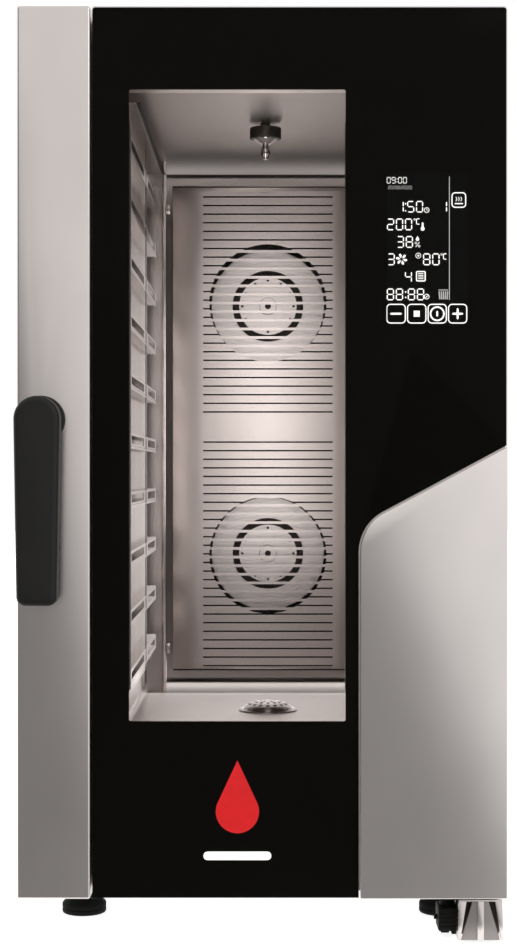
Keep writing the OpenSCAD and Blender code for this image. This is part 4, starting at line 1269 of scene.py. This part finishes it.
class OVEN_OT_stage(bpy.types.Operator):
    """Pale floor, soft lights and the camera in front of the door"""
    bl_idname = "oven.stage"
    bl_label = "Stage"

    def execute(self, context):
        clear_selection()
        bpy.ops.mesh.primitive_plane_add(size=14, location=(0, FRONT + 6.96, FLOOR - 0.5 * MM))
        floor = bpy.context.object
        floor.name = "studio_floor"
        mat, tree, out, place = blank("Pale studio floor")
        cloud = grain(tree, place, (400, 400, 400), 2.0)
        tone = tint(tree, spread(tree, cloud, 0, 1), "#F4F4F4", "#FBFBFB")
        floor.data.materials.append(surfaced(mat, tree, out, {
            "Roughness": 0.8, "Specular IOR Level": 0.1, "Emission Color": srgb("#FFFFFF"),
            "Emission Strength": 0.8}, {"Base Color": tone}))

        world = bpy.data.worlds.new("Soft studio")
        context.scene.world = world
        world.use_nodes = True
        tree = world.node_tree
        tree.nodes.clear()
        out = add_node(tree, "ShaderNodeOutputWorld")
        # white behind the oven; before it a room that brightens upwards and to the right
        way = add_node(tree, "ShaderNodeTexCoord").outputs["Generated"]
        rise = add_node(tree, "ShaderNodeVectorMath", {"operation": "DOT_PRODUCT", 1: (0.8, 0, 1.0)},
                        {0: way}).outputs["Value"]
        room = add_node(tree, "ShaderNodeMapRange",
                        {"interpolation_type": "SMOOTHSTEP", "From Min": -0.14, "From Max": 0.03,
                         "To Min": 0.28, "To Max": 1.0}, {"Value": rise}).outputs["Result"]
        behind = add_node(tree, "ShaderNodeMapRange", {"From Min": -0.15, "From Max": 0.05},
                          {"Value": add_node(tree, "ShaderNodeSeparateXYZ", links={0: way}).outputs["Y"]})
        power = add_node(tree, "ShaderNodeMix", {3: 1.0}, {0: behind.outputs["Result"], 2: room}).outputs[0]
        back = add_node(tree, "ShaderNodeBackground", {"Color": (1, 1, 1, 1)}, {"Strength": power})
        tree.links.new(back.outputs[0], out.inputs["Surface"])

        soft_lamp("key", (1.6, FRONT - 1.6, 2.2), (0, FRONT, 0.5), (1.4, 1.4), 8)
        warm = (1.0, 0.985, 0.97)
        window_z = 0.614
        soft_lamp("chamber_front", (MID_X, CHAMBER_LO.y + 20 * MM, window_z), (MID_X, CHAMBER_HI.y, window_z),
                  (0.11, 0.52), 0.55, warm, False)
        before, behind_guard = GUARD_LO.y - 10 * MM, CHAMBER_HI.y - 5 * MM
        for name, low, high, y, power in (("low", CHAMBER_LO.z, 0.46, before, 0.20),
                                          ("high", 0.46, 0.82, before, 0.18),
                                          ("floor", 0.195, 0.223, behind_guard, 0.045),
                                          ("ceiling", 0.903, 0.935, behind_guard, 0.02)):
            mid = (low + high) / 2
            soft_lamp(f"chamber_glow_{name}", (MID_X, y, mid), (MID_X, FRONT, mid), (0.34, high - low), power,
                      warm, False)

        clear_selection()
        bpy.ops.object.camera_add(location=(MID_X, FRONT - 2.0, 0.5007), rotation=(math.pi / 2, 0, 0))
        camera = bpy.context.object
        camera.data.sensor_width = 36
        camera.data.lens = 71.6
        camera.data.shift_x = -0.0099
        camera.data.shift_y = -0.0026
        context.scene.camera = camera
        context.scene.view_settings.view_transform = "Standard"
        return {"FINISHED"}


# ------------------------------------------------------------------ add-on

PIECES = (OVEN_OT_stage, OVEN_OT_glass, OVEN_OT_door_steel, OVEN_OT_handle, OVEN_OT_display, OVEN_OT_badge,
          OVEN_OT_casing, OVEN_OT_chamber, OVEN_OT_guard, OVEN_OT_racks, OVEN_OT_fans, OVEN_OT_nozzle,
          OVEN_OT_drain_cover, OVEN_OT_feet, OVEN_OT_outlet, OVEN_OT_connections, OVEN_OT_finishes)


class OVEN_PT_panel(bpy.types.Panel):
    """The sidebar panel with the oven's sizes, colours and pieces"""
    bl_idname = "OVEN_PT_panel"
    bl_label = "Combi steamer oven"
    bl_space_type = "VIEW_3D"
    bl_region_type = "UI"
    bl_category = "Oven"

    def draw(self, context):
        for group in (context.scene.oven_sizes, context.scene.oven_colours):
            for name in group.__annotations__:
                self.layout.prop(group, name)
        for operator in PIECES:
            self.layout.operator(operator.bl_idname)


CLASSES = (OvenSizes, OvenColours, *PIECES, OVEN_PT_panel)


def register():
    for cls in CLASSES:
        bpy.utils.register_class(cls)
    bpy.types.Scene.oven_sizes = bpy.props.PointerProperty(type=OvenSizes)
    bpy.types.Scene.oven_colours = bpy.props.PointerProperty(type=OvenColours)


def unregister():
    del bpy.types.Scene.oven_sizes
    del bpy.types.Scene.oven_colours
    for cls in reversed(CLASSES):
        bpy.utils.unregister_class(cls)


def main():
    register()
    MATERIALS.update(make_materials(bpy.context.scene.oven_colours))
    for operator in PIECES:
        getattr(bpy.ops.oven, operator.bl_idname.split(".")[1])()


if __name__ == "__main__":
    main()
